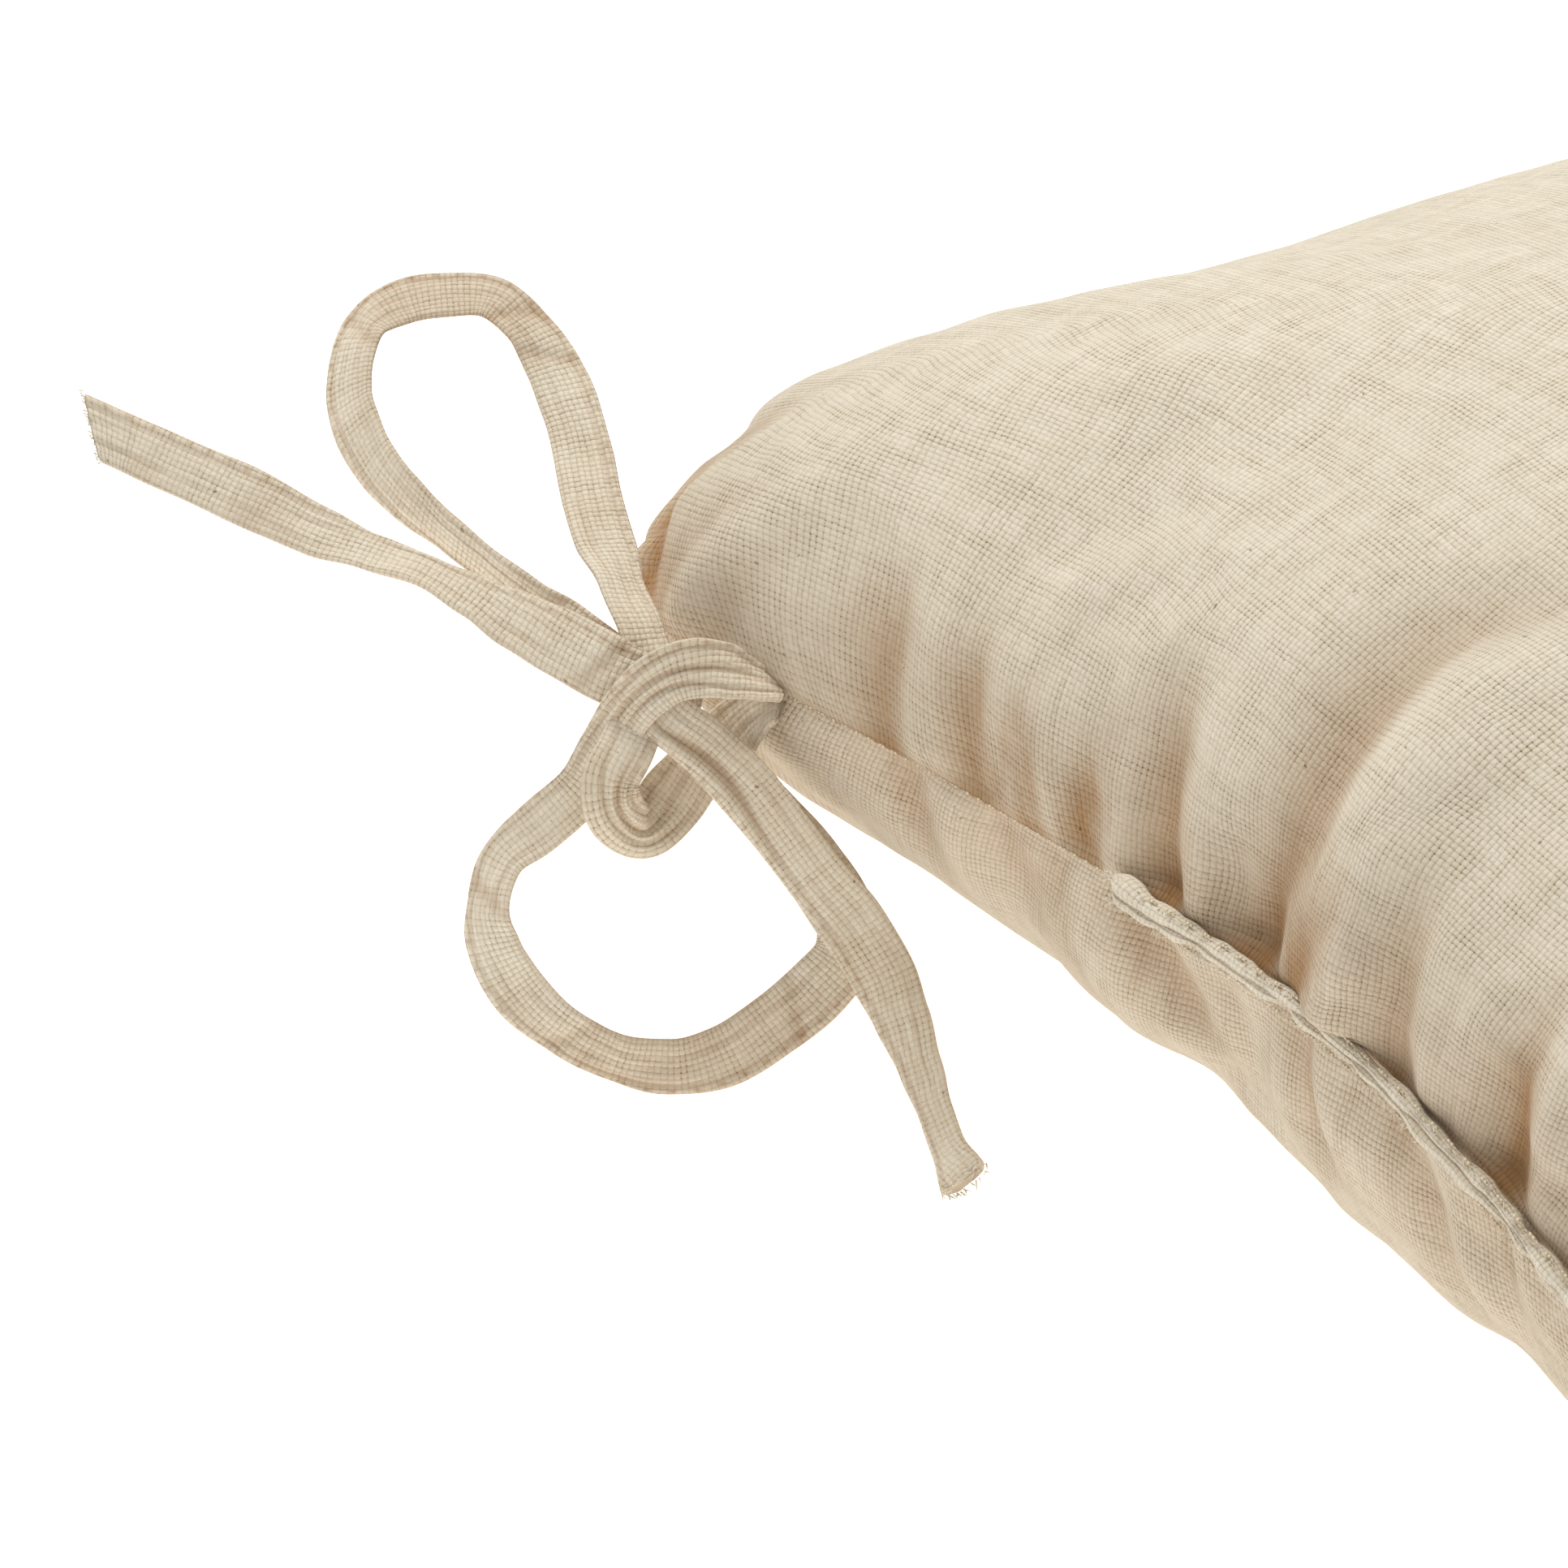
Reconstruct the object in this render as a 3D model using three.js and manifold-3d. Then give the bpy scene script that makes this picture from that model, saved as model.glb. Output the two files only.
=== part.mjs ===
// Floor cushion in natural linen, closed with a sewn slot and tied at two corners.
// Frame: millimetres, +Z up, origin under the middle of the cushion on the surface it rests on.
// +Y is the back edge, which holds both pairs of ties and the closing seam.
import * as THREE from 'three';
import { mergeVertices } from 'three/addons/utils/BufferGeometryUtils.js';
import Module from 'manifold-3d';

const wasm = await Module();
wasm.setup();

// ---- driving dimensions ----
const HALF_WIDTH = 225; // middle of the cushion to the furthest point of a side
const SIDE_PULL = 28; // how far the middle of each side is drawn in
const CORNER_RADIUS = 38; // rounding of the seam at a corner
const SEAM_HEIGHT = 72; // seam above the surface the cushion rests on
const CROWN = 90; // seam up to the top of the crown
const BELLY = 82; // seam down to the lowest point the filling would reach with no floor
const SIDE_FULLNESS = 0.33; // how the height grows from the middle of a side, 0.5 is an ellipse
const CORNER_FULLNESS = 0.56; // the same from a corner, where the cloth rises more slowly
const CLOTH = 1; // thickness of one panel
const GAP = 0.3; // clearance between pieces that touch
const SEAM_ALLOWANCE = 12; // cloth turned in along the seam
const THREAD = 0.8; // sewing thread, drawn as thick as its stitches stand
const CLOSING_START = 71; // closing seam, distance of its right end from the middle
const CLOSING_LENGTH = 186;
const LIP_REACH = 4; // folded edges of the closing seam stand out this far
const LIP_THICKNESS = 2.6; // one rolled edge
const STITCH_PITCH = 5;
const TAPE_WIDTH = 12; // tie, folded from a strip of the same cloth
const TAPE_THICKNESS = 2;
const TIE_EXIT_X = 155; // where a pair of ties leaves the seam
const ANCHOR_LENGTH = 7; // end of a tie caught in the seam
const KNOT_SIZE = [22, 21, 15]; // across the bow, up the bow and through it
const KNOT_CENTRE = [22, -1.5, 0];

// ---- how finely the curved pieces are cut ----
const SIDE_STEPS = 6;
const CORNER_STEPS = 6;
const RINGS = 7;
const TAPE_STEP = 10.5;

// ---- the bow's own plane ----
// A route point is [out, up, near, turn]: out along the corner, up the face of the bow, near out of
// that face, and the turn of the tape about its own length in degrees, 0 with its face square.
const BOW_HEADING = THREE.MathUtils.degToRad(60); // direction of out, from +X towards +Y
const BOW_TILT = THREE.MathUtils.degToRad(32); // how far the bow's face looks up

const UNDER_TIE = {
  lead: [
    [-1.5, -1.1, -0.6, 54], [3.5, -3, -4, 30], [9, -7.5, -8.8, 4], [13, -12.5, -10.8, 0], [16, -20, -10, 0],
    [23, -25.6, -5, 0], [30, -22.4, 3, 0], [30.5, -15.5, 5.6, 0], [26, -9.5, 4.6, 0],
  ],
  loop: [
    [23, 3, -0.6, 0], [25.5, 11, -2.8, 0], [29.5, 20, -9, 0], [34, 31, -17, 0], [36.5, 44, -24, 5],
    [38.5, 56, -31, 15], [43, 66.5, -36.5, 32], [50.5, 72, -39.5, 40], [60.5, 73.5, -40.5, 40],
    [70.5, 70.5, -39, 38], [77, 63.5, -35, 34], [78.5, 53.5, -29.5, 26], [74, 43, -24, 12],
    [65, 32.5, -18.5, 4], [53, 24, -14, 0], [41, 16, -11.6, 0], [31, 7.5, -9.2, 0], [26, 3, -6.6, 0],
  ],
  tail: [
    [20, -4, 3.6, 0], [13.5, -9.5, 2.8, 0], [7.5, -16, 1.6, 0], [0.5, -22, 0, 0], [-6.5, -28.5, -1.5, 0],
    [-14, -38, -3, 0], [-20.5, -48.5, -3.4, 4], [-26, -58.5, -2.4, 10], [-30, -69, 0.6, 18],
    [-32.5, -78.5, 5, 8], [-34.5, -87.5, 10.4, 0],
  ],
};
const OVER_TIE = {
  lead: [
    [-1.5, 1.1, 0.6, 54], [3.5, 2.8, 2.6, 36], [9, 6, 5.4, 14], [15, 7, 7, 0], [21, 5, 7.4, 0],
  ],
  loop: [
    [27, -1, 5.2, 0], [31.5, -8.5, -0.8, 0], [36.5, -16, -5.2, 0], [43, -21, -6.8, 4], [49.5, -26, -6.8, 14],
    [53.5, -34, -6.4, 24], [54.5, -43, -8, 20], [50.5, -52, -9.6, 8], [43, -59.5, -10.8, 0],
    [33.5, -65.5, -11.8, 0], [23, -69, -12.6, 0], [12, -69.5, -12.8, 0], [1, -65.5, -12.4, 0],
    [-8.5, -58, -11.6, 0], [-13, -49.5, -10.8, 0], [-12.5, -41, -9.8, 0], [-7.5, -31, -8, 0],
    [0.5, -22.5, -5.4, 0], [8.5, -14.5, -3, 0], [16, -7.5, -2, 0], [21, -3, -1.6, 0],
  ],
  tail: [
    [22, 0, 0.6, 0], [31, 6, 1, 0], [39.5, 10.5, -1.6, 0], [53, 18.5, -5.6, 0], [68, 26, -9.6, 6],
    [83, 32.5, -13, 8], [98.5, 39, -16.5, 4], [113, 45.5, -20, 0], [126, 51, -23, 0],
  ],
};

// ---- small helpers ----
const cloth = (color) => new THREE.MeshStandardMaterial({ color, roughness: 0.95, metalness: 0 });
const LINEN = cloth(0xd6c7ad);
const TAPE = cloth(0xcdbd9f);
const FIBRE = cloth(0xf2efe8);
const YARN = cloth(0xc4b08e);

function weld(geometry) {
  const bare = geometry.index ? geometry.clone() : mergeVertices(geometry.clone());
  bare.deleteAttribute('normal');
  bare.deleteAttribute('uv');
  return mergeVertices(bare, 1e-4);
}

function toSolid(geometry) {
  const bare = weld(geometry);
  return new wasm.Manifold(new wasm.Mesh({
    numProp: 3,
    vertProperties: Float32Array.from(bare.attributes.position.array),
    triVerts: Uint32Array.from(bare.index.array),
  }));
}

function toGeometry(solid) {
  const mesh = solid.getMesh();
  const geometry = new THREE.BufferGeometry();
  geometry.setAttribute('position', new THREE.BufferAttribute(mesh.vertProperties, 3));
  geometry.setIndex(new THREE.BufferAttribute(mesh.triVerts, 1));
  geometry.computeVertexNormals();
  return geometry;
}

const part = new THREE.Group();
function addPiece(name, geometry, material) {
  const mesh = new THREE.Mesh(geometry, material);
  mesh.name = name;
  part.add(mesh);
}

// Six times the volume inside the faces, negative when they point inwards.
function volume(positions, faces) {
  const corner = (i) => new THREE.Vector3(...positions.slice(3 * i, 3 * i + 3));
  let sum = 0;
  for (let i = 0; i < faces.length; i += 3) {
    const [a, b, c] = [faces[i], faces[i + 1], faces[i + 2]].map(corner);
    sum += a.dot(b.cross(c));
  }
  return sum;
}

// Skins loops of points, all with the same count, into one closed body. Joined, the last loop meets
// the first; otherwise a point at the middle of each end loop closes the ends.
function loft(loops, joined = false) {
  const count = loops[0].length;
  const positions = loops.flat().flatMap((p) => [p.x, p.y, p.z]);
  const faces = [];
  const strips = joined ? loops.length : loops.length - 1;
  for (let i = 0; i < strips; i += 1) {
    const here = i * count;
    const next = ((i + 1) % loops.length) * count;
    for (let k = 0; k < count; k += 1) {
      const m = (k + 1) % count;
      faces.push(here + k, here + m, next + m, here + k, next + m, next + k);
    }
  }
  if (!joined) {
    for (const [loop, start, turned] of [
      [loops[0], 0, true], [loops.at(-1), (loops.length - 1) * count, false],
    ]) {
      const middle = loop.reduce((sum, p) => sum.add(p), new THREE.Vector3()).divideScalar(count);
      const hub = positions.length / 3;
      positions.push(middle.x, middle.y, middle.z);
      for (let k = 0; k < count; k += 1) {
        const m = (k + 1) % count;
        faces.push(...(turned ? [hub, start + m, start + k] : [hub, start + k, start + m]));
      }
    }
  }
  if (volume(positions, faces) < 0) faces.reverse();
  const geometry = new THREE.BufferGeometry();
  geometry.setAttribute('position', new THREE.Float32BufferAttribute(positions, 3));
  geometry.setIndex(faces);
  geometry.computeVertexNormals();
  return geometry;
}

// ---- outline of the seam: four drawn-in sides and four round corners, all arcs ----
const cornerCentre = HALF_WIDTH - CORNER_RADIUS;
const sideRadius = ((CORNER_RADIUS - SIDE_PULL) ** 2 + cornerCentre ** 2 - CORNER_RADIUS ** 2)
  / (2 * SIDE_PULL);
const sideCentre = HALF_WIDTH - SIDE_PULL + sideRadius;
const sideSpan = Math.atan2(cornerCentre, sideCentre - cornerCentre); // half the angle of a side's arc

function seamOutline() {
  const points = [];
  for (let quarter = 0; quarter < 4; quarter += 1) {
    const turn = (quarter * Math.PI) / 2;
    const side = new THREE.Path().absarc(
      sideCentre, 0, sideRadius, Math.PI + sideSpan, Math.PI - sideSpan, true,
    );
    const corner = new THREE.Path().absarc(
      cornerCentre, cornerCentre, CORNER_RADIUS, -sideSpan, Math.PI / 2 + sideSpan, false,
    );
    for (const [path, steps] of [[side, SIDE_STEPS], [corner, CORNER_STEPS]]) {
      for (const p of path.getSpacedPoints(steps).slice(0, -1)) {
        points.push(p.rotateAround(new THREE.Vector2(), turn));
      }
    }
  }
  return points;
}
const outline = seamOutline();
const onBack = (p) => p.y > Math.abs(p.x);

// The y of the back side's seam at x, on the straight stretch between two of its points.
function sideAt(x) {
  const back = outline.filter(onBack);
  const from = back.findIndex((p, i) => p.x >= x && back[i + 1].x <= x);
  const [a, b] = [back[from], back[from + 1]];
  return THREE.MathUtils.mapLinear(x, a.x, b.x, a.y, b.y);
}

function fullness(p) {
  const cornerness = Math.sin(2 * Math.atan2(p.y, p.x)) ** 4;
  return SIDE_FULLNESS + (CORNER_FULLNESS - SIDE_FULLNESS) * cornerness;
}

// One loop of the outline drawn in to a share of its size and moved inwards, at the height that
// lift gives it, where 0 is the seam and 1 the height of the full crown or belly.
function ring(share, inset, height) {
  return outline.map((p) => {
    const scale = share * (1 - inset / HALF_WIDTH);
    const rise = Math.max(1 - share ** 2, 0) ** fullness(p);
    return new THREE.Vector3(p.x * scale, p.y * scale, height(rise));
  });
}

// Shares from the middle to the rim, closer together towards the rim, where the cloth turns.
const shares = Array.from({ length: RINGS }, (_, i) => Math.sin(((i + 1) / RINGS) * (Math.PI / 2)));

const rimInset = THREAD + GAP;
const topSkin = (inside) => (rise) => SEAM_HEIGHT + GAP / 2 + (CROWN - GAP / 2 - inside) * rise;
const bottomSkin = (inside) => (rise) => Math.max(
  inside, SEAM_HEIGHT - GAP / 2 - (BELLY - GAP / 2 - inside) * rise,
);

// A panel is a bowl of cloth: outer skin, rim, turned-in seam allowance, and the inner skin.
function panelLoops(skin, side) {
  const outer = shares.map((s) => ring(s, rimInset, skin(0)));
  const lip = SEAM_HEIGHT + side * (GAP / 2);
  const lipInside = lip + side * CLOTH;
  const allowanceEdge = rimInset + SEAM_ALLOWANCE;
  const turnedIn = [
    ring(1, allowanceEdge, () => lip),
    ring(1, allowanceEdge, () => lipInside),
    ring(1, rimInset + CLOTH, () => lipInside),
  ];
  const inner = shares.slice(0, -1).reverse().map((s) => ring(s, rimInset + CLOTH, skin(CLOTH)));
  return [...outer, ...turnedIn, ...inner];
}

// A rolled edge of the closing seam, standing out from the rim of its panel.
const closingEnd = CLOSING_START - CLOSING_LENGTH;
function closingLip(side) {
  const steps = 10;
  const low = Math.min(side * GAP / 2, side * (GAP / 2 + LIP_THICKNESS));
  const high = low + LIP_THICKNESS;
  const back = -(rimInset + CLOTH / 2);
  const round = LIP_THICKNESS / 4;
  const section = [
    [back, low], [LIP_REACH - round, low], [LIP_REACH, low + round], [LIP_REACH, high - round],
    [LIP_REACH - round, high], [back, high],
  ];
  const loops = Array.from({ length: steps + 1 }, (_, i) => {
    const x = CLOSING_START - (i / steps) * CLOSING_LENGTH;
    return section.map(([out, up]) => new THREE.Vector3(x, sideAt(x) + out, SEAM_HEIGHT + up));
  });
  return loft(loops);
}

// ---- ties ----
const tieExit = new THREE.Vector3(TIE_EXIT_X, sideAt(TIE_EXIT_X), SEAM_HEIGHT);
const seamSlope = Math.atan2(
  sideAt(TIE_EXIT_X + TAPE_WIDTH / 2) - sideAt(TIE_EXIT_X - TAPE_WIDTH / 2), TAPE_WIDTH,
);

// A box square to the seam at the tie exit: its outer end lies this far out from the seam's line.
function exitBox(width, length, height, outerEnd, level) {
  const box = new THREE.BoxGeometry(width, length, height);
  box.translate(0, outerEnd - length / 2, level);
  box.rotateZ(seamSlope);
  box.translate(...tieExit);
  return toSolid(box);
}

// The sewn-in end of a tie, one above the other, or the room for it with a clearance all round.
function anchorSolid(side, clearance) {
  return exitBox(
    TAPE_WIDTH + 2 * clearance, ANCHOR_LENGTH + 2 * clearance, TAPE_THICKNESS + 2 * clearance,
    clearance - rimInset, (side * (TAPE_THICKNESS + GAP)) / 2,
  );
}

// Follows a tie's points, and carries its flat section with the turn that each point gives it.
class TapeRoute extends THREE.CatmullRomCurve3 {
  constructor(route, place, face) {
    super(route.map(place), false, 'centripetal');
    this.turns = route.map((p) => THREE.MathUtils.degToRad(p[3]));
    this.face = face;
  }

  computeFrenetFrames(segments) {
    const frames = { tangents: [], normals: [], binormals: [] };
    for (let i = 0; i <= segments; i += 1) {
      const along = this.getUtoTmapping(i / segments) * (this.turns.length - 1);
      const from = Math.min(Math.floor(along), this.turns.length - 2);
      const turn = THREE.MathUtils.lerp(this.turns[from], this.turns[from + 1], along - from);
      const tangent = this.getTangentAt(i / segments).normalize();
      const normal = this.face.clone().projectOnPlane(tangent).normalize();
      normal.applyAxisAngle(tangent, turn);
      frames.tangents.push(tangent);
      frames.normals.push(normal);
      frames.binormals.push(tangent.clone().cross(normal));
    }
    return frames;
  }
}

const bevel = TAPE_THICKNESS / 4;
const tapeSection = new THREE.Shape([
  [TAPE_THICKNESS / 2 - bevel, -TAPE_WIDTH / 2], [TAPE_THICKNESS / 2, -TAPE_WIDTH / 2 + bevel],
  [TAPE_THICKNESS / 2, TAPE_WIDTH / 2 - bevel], [TAPE_THICKNESS / 2 - bevel, TAPE_WIDTH / 2],
  [bevel - TAPE_THICKNESS / 2, TAPE_WIDTH / 2], [-TAPE_THICKNESS / 2, TAPE_WIDTH / 2 - bevel],
  [-TAPE_THICKNESS / 2, bevel - TAPE_WIDTH / 2], [bevel - TAPE_THICKNESS / 2, -TAPE_WIDTH / 2],
].map(([x, y]) => new THREE.Vector2(x, y)));

const bowOut = new THREE.Vector3(Math.cos(BOW_HEADING), Math.sin(BOW_HEADING), 0);
const bowBack = new THREE.Vector3(Math.sin(BOW_HEADING), -Math.cos(BOW_HEADING), 0);
const vertical = new THREE.Vector3(0, 0, 1);
const bowUp = bowBack.clone().multiplyScalar(Math.sin(BOW_TILT))
  .addScaledVector(vertical, Math.cos(BOW_TILT));
const bowNear = bowBack.clone().multiplyScalar(-Math.cos(BOW_TILT))
  .addScaledVector(vertical, Math.sin(BOW_TILT));

function bowPoint([out, up, near]) {
  return tieExit.clone().addScaledVector(bowOut, out).addScaledVector(bowUp, up)
    .addScaledVector(bowNear, near);
}

function tapeGeometry(route) {
  const curve = new TapeRoute(route, bowPoint, bowNear);
  const steps = Math.max(4, Math.round(curve.getLength() / TAPE_STEP));
  return new THREE.ExtrudeGeometry(tapeSection, { extrudePath: curve, steps, curveSegments: 1 });
}

function knotGeometry(clearance) {
  const ball = new THREE.SphereGeometry(1, 14, 9);
  ball.scale(...KNOT_SIZE.map((size) => size / 2 + clearance));
  const bowFrame = new THREE.Matrix4().makeBasis(bowOut, bowUp, bowNear.clone().negate());
  bowFrame.setPosition(bowPoint(KNOT_CENTRE));
  return ball.applyMatrix4(bowFrame);
}

// A loft and a ball can be turned about by the left side's mirror; a solid keeps itself the right way.
function mirrored(solid, mirror) {
  return mirror > 0 ? solid : solid.mirror([1, 0, 0]);
}

// ---- assembly ----
let topPanel = toSolid(loft(panelLoops(topSkin, 1))).add(toSolid(closingLip(1)));
let bottomPanel = toSolid(loft(panelLoops(bottomSkin, -1))).add(toSolid(closingLip(-1)));
for (const mirror of [1, -1]) {
  for (const side of [1, -1]) {
    const pocket = mirrored(anchorSolid(side, GAP), mirror);
    topPanel = topPanel.subtract(pocket);
    bottomPanel = bottomPanel.subtract(pocket);
  }
}
addPiece('top_panel', toGeometry(topPanel), LINEN);
addPiece('bottom_panel', toGeometry(bottomPanel), LINEN);

const padInset = rimInset + SEAM_ALLOWANCE + GAP;
const padRings = [
  ...shares.map((s) => ring(s, padInset, topSkin(CLOTH + GAP))),
  ...[...shares].reverse().map((s) => ring(s, padInset, bottomSkin(CLOTH + GAP))),
];
addPiece('filling', loft(padRings), FIBRE);

// The seam's thread runs round the whole rim and stops at both ends of the closing seam.
const threadRadius = THREAD / 2;
const atClosing = (p) => onBack(p) && Math.abs(p.x - (CLOSING_START + closingEnd) / 2)
  < CLOSING_LENGTH / 2 + STITCH_PITCH;
const firstThread = outline.findIndex((p) => onBack(p) && p.x < closingEnd - STITCH_PITCH);
const threadEnd = (x) => new THREE.Vector2(x, sideAt(x));
const threadLine = [
  threadEnd(closingEnd - STITCH_PITCH),
  ...[...outline.slice(firstThread), ...outline.slice(0, firstThread)].filter((p) => !atClosing(p)),
  threadEnd(CLOSING_START + STITCH_PITCH),
];
const threadSides = 6;
const threadLoops = threadLine.map((p) => Array.from({ length: threadSides }, (_, k) => {
  const around = (k / threadSides) * 2 * Math.PI;
  const scale = 1 - (threadRadius * (1 + Math.cos(around))) / HALF_WIDTH;
  return new THREE.Vector3(p.x * scale, p.y * scale, SEAM_HEIGHT + threadRadius * Math.sin(around));
}));
addPiece('seam_thread', loft(threadLoops), YARN);

// A line of stitching along the middle of each rolled edge: the needle's thread on the upper one
// and the bobbin's thread under the lower one, each dipping where the two lock.
for (const [name, side] of [['closing_needle_thread', 1], ['closing_bobbin_thread', -1]]) {
  const level = SEAM_HEIGHT + side * (GAP / 2 + LIP_THICKNESS + GAP + threadRadius);
  const loops = Array.from({ length: Math.floor(CLOSING_LENGTH / STITCH_PITCH) }, (_, i) => {
    const x = CLOSING_START - (i + 0.5) * STITCH_PITCH;
    const radius = threadRadius * (i % 2 ? 0.5 : 1);
    const middle = level - side * (threadRadius - radius);
    return Array.from({ length: 4 }, (_corner, k) => {
      const around = (k / 4) * 2 * Math.PI;
      const y = sideAt(x) + LIP_REACH / 2 + radius * Math.cos(around);
      return new THREE.Vector3(x, y, middle + radius * Math.sin(around));
    });
  });
  addPiece(name, loft(loops), YARN);
}

for (const [sideName, mirror] of [['right', 1], ['left', -1]]) {
  const knotRoom = toSolid(knotGeometry(GAP));
  const cushionRoom = exitBox(4 * TAPE_WIDTH, 2 * TAPE_WIDTH, 4 * TAPE_WIDTH, GAP, 0);
  for (const [tieName, tie, side] of [['over', OVER_TIE, 1], ['under', UNDER_TIE, -1]]) {
    const label = `${sideName}_${tieName}_tie`;
    addPiece(`${label}_anchor`, toGeometry(mirrored(anchorSolid(side, 0), mirror)), TAPE);
    for (const [stretch, route] of Object.entries(tie)) {
      let tape = toSolid(tapeGeometry(route)).subtract(knotRoom);
      if (stretch === 'lead') tape = tape.subtract(cushionRoom);
      addPiece(`${label}_${stretch}`, toGeometry(mirrored(tape, mirror)), TAPE);
    }
  }
  addPiece(`${sideName}_bow_knot`, toGeometry(mirrored(toSolid(knotGeometry(0)), mirror)), TAPE);
}

export default part;
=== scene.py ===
"""Floor cushion in natural linen.

A square stuffed cushion with a hand-closed seam and a bow of cloth ties at two of its corners.
"""

from __future__ import annotations

import logging
import math
from collections.abc import Callable
from dataclasses import dataclass, field
from enum import Enum

import bmesh
import bpy
import numpy as np
from mathutils import Matrix, Vector, noise

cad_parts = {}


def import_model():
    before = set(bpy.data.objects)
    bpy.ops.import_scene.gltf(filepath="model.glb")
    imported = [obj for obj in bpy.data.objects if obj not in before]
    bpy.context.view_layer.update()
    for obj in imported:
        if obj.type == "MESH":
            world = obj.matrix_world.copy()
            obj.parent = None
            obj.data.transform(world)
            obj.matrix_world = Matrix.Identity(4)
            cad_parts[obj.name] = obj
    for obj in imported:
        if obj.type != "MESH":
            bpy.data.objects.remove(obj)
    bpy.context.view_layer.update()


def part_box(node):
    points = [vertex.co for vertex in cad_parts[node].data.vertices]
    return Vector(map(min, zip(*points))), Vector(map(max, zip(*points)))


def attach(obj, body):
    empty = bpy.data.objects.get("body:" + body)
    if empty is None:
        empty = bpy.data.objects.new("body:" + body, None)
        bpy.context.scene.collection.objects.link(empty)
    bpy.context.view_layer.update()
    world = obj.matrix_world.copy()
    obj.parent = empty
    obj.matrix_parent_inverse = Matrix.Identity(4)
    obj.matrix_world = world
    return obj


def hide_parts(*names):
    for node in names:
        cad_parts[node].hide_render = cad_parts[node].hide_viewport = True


log = logging.getLogger("cushion")

Material = bpy.types.Material
Piece = bpy.types.Object
Socket = bpy.types.NodeSocket
Tree = bpy.types.NodeTree

MM = 0.001
SEAM_HEIGHT = 72 * MM
FLOOR_GAP = 0.3 * MM  # no cloth lies lower than this over the floor
SAME_POINT = 0.01 * MM  # points that lie closer than this are merged
UP = Vector((0, 0, 1))


class Side(Enum):
    """Which end of the back edge a pair of ties is sewn to."""

    RIGHT = 1
    LEFT = -1

    @property
    def word(self) -> str:
        """The side's name in piece and body names."""
        return self.name.lower()


class Panel(Enum):
    """The two cut pieces of cloth that make the case."""

    TOP = 1
    BOTTOM = -1


# ---------------------------------------------------------------- colours and nodes


def linear(code: str) -> tuple[float, float, float, float]:
    """Turns an sRGB hex value into the linear colour that a shader socket takes.

    Args:
        code: The colour as "#rrggbb".

    Returns:
        Red, green, blue and an alpha of 1.
    """
    parts = (int(code[i : i + 2], 16) / 255 for i in (1, 3, 5))
    red, green, blue = (c / 12.92 if c <= 0.04045 else ((c + 0.055) / 1.055) ** 2.4 for c in parts)
    return red, green, blue, 1.0


def add_node(tree: Tree, kind: str, sockets: dict | None = None, **settings) -> bpy.types.Node:
    """Adds one node, with its settings, and fills or links its inputs.

    Args:
        tree: The material's node tree.
        kind: The node's type without the leading "ShaderNode".
        sockets: Input names or numbers, each with a value or with the output socket that feeds it.
        **settings: Properties of the node itself.

    Returns:
        The new node.
    """
    node = tree.nodes.new("ShaderNode" + kind)
    for name, value in settings.items():
        setattr(node, name, value)
    for key, value in (sockets or {}).items():
        if isinstance(value, bpy.types.NodeSocket):
            tree.links.new(value, node.inputs[key])
        else:
            node.inputs[key].default_value = value
    return node


def figure(tree: Tree, operation: str, *values: float | Socket) -> Socket:
    """One step of arithmetic in a material.

    Args:
        tree: The material's node tree.
        operation: The Math node's operation.
        *values: Numbers or sockets, in order.

    Returns:
        The result's socket.
    """
    return add_node(tree, "Math", dict(enumerate(values)), operation=operation).outputs[0]


def fineness(size_mm: float) -> float:
    """The scale that gives a pattern of this size, in millimetres, on coordinates in metres."""
    return 1 / (size_mm * MM)


def blank_material(name: str) -> Material:
    """Starts a node material with nothing in it.

    Args:
        name: The material's name.

    Returns:
        The material.
    """
    material = bpy.data.materials.new(name)
    material.use_nodes = True
    material.node_tree.nodes.clear()
    return material


# ---------------------------------------------------------------- finishes


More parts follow.
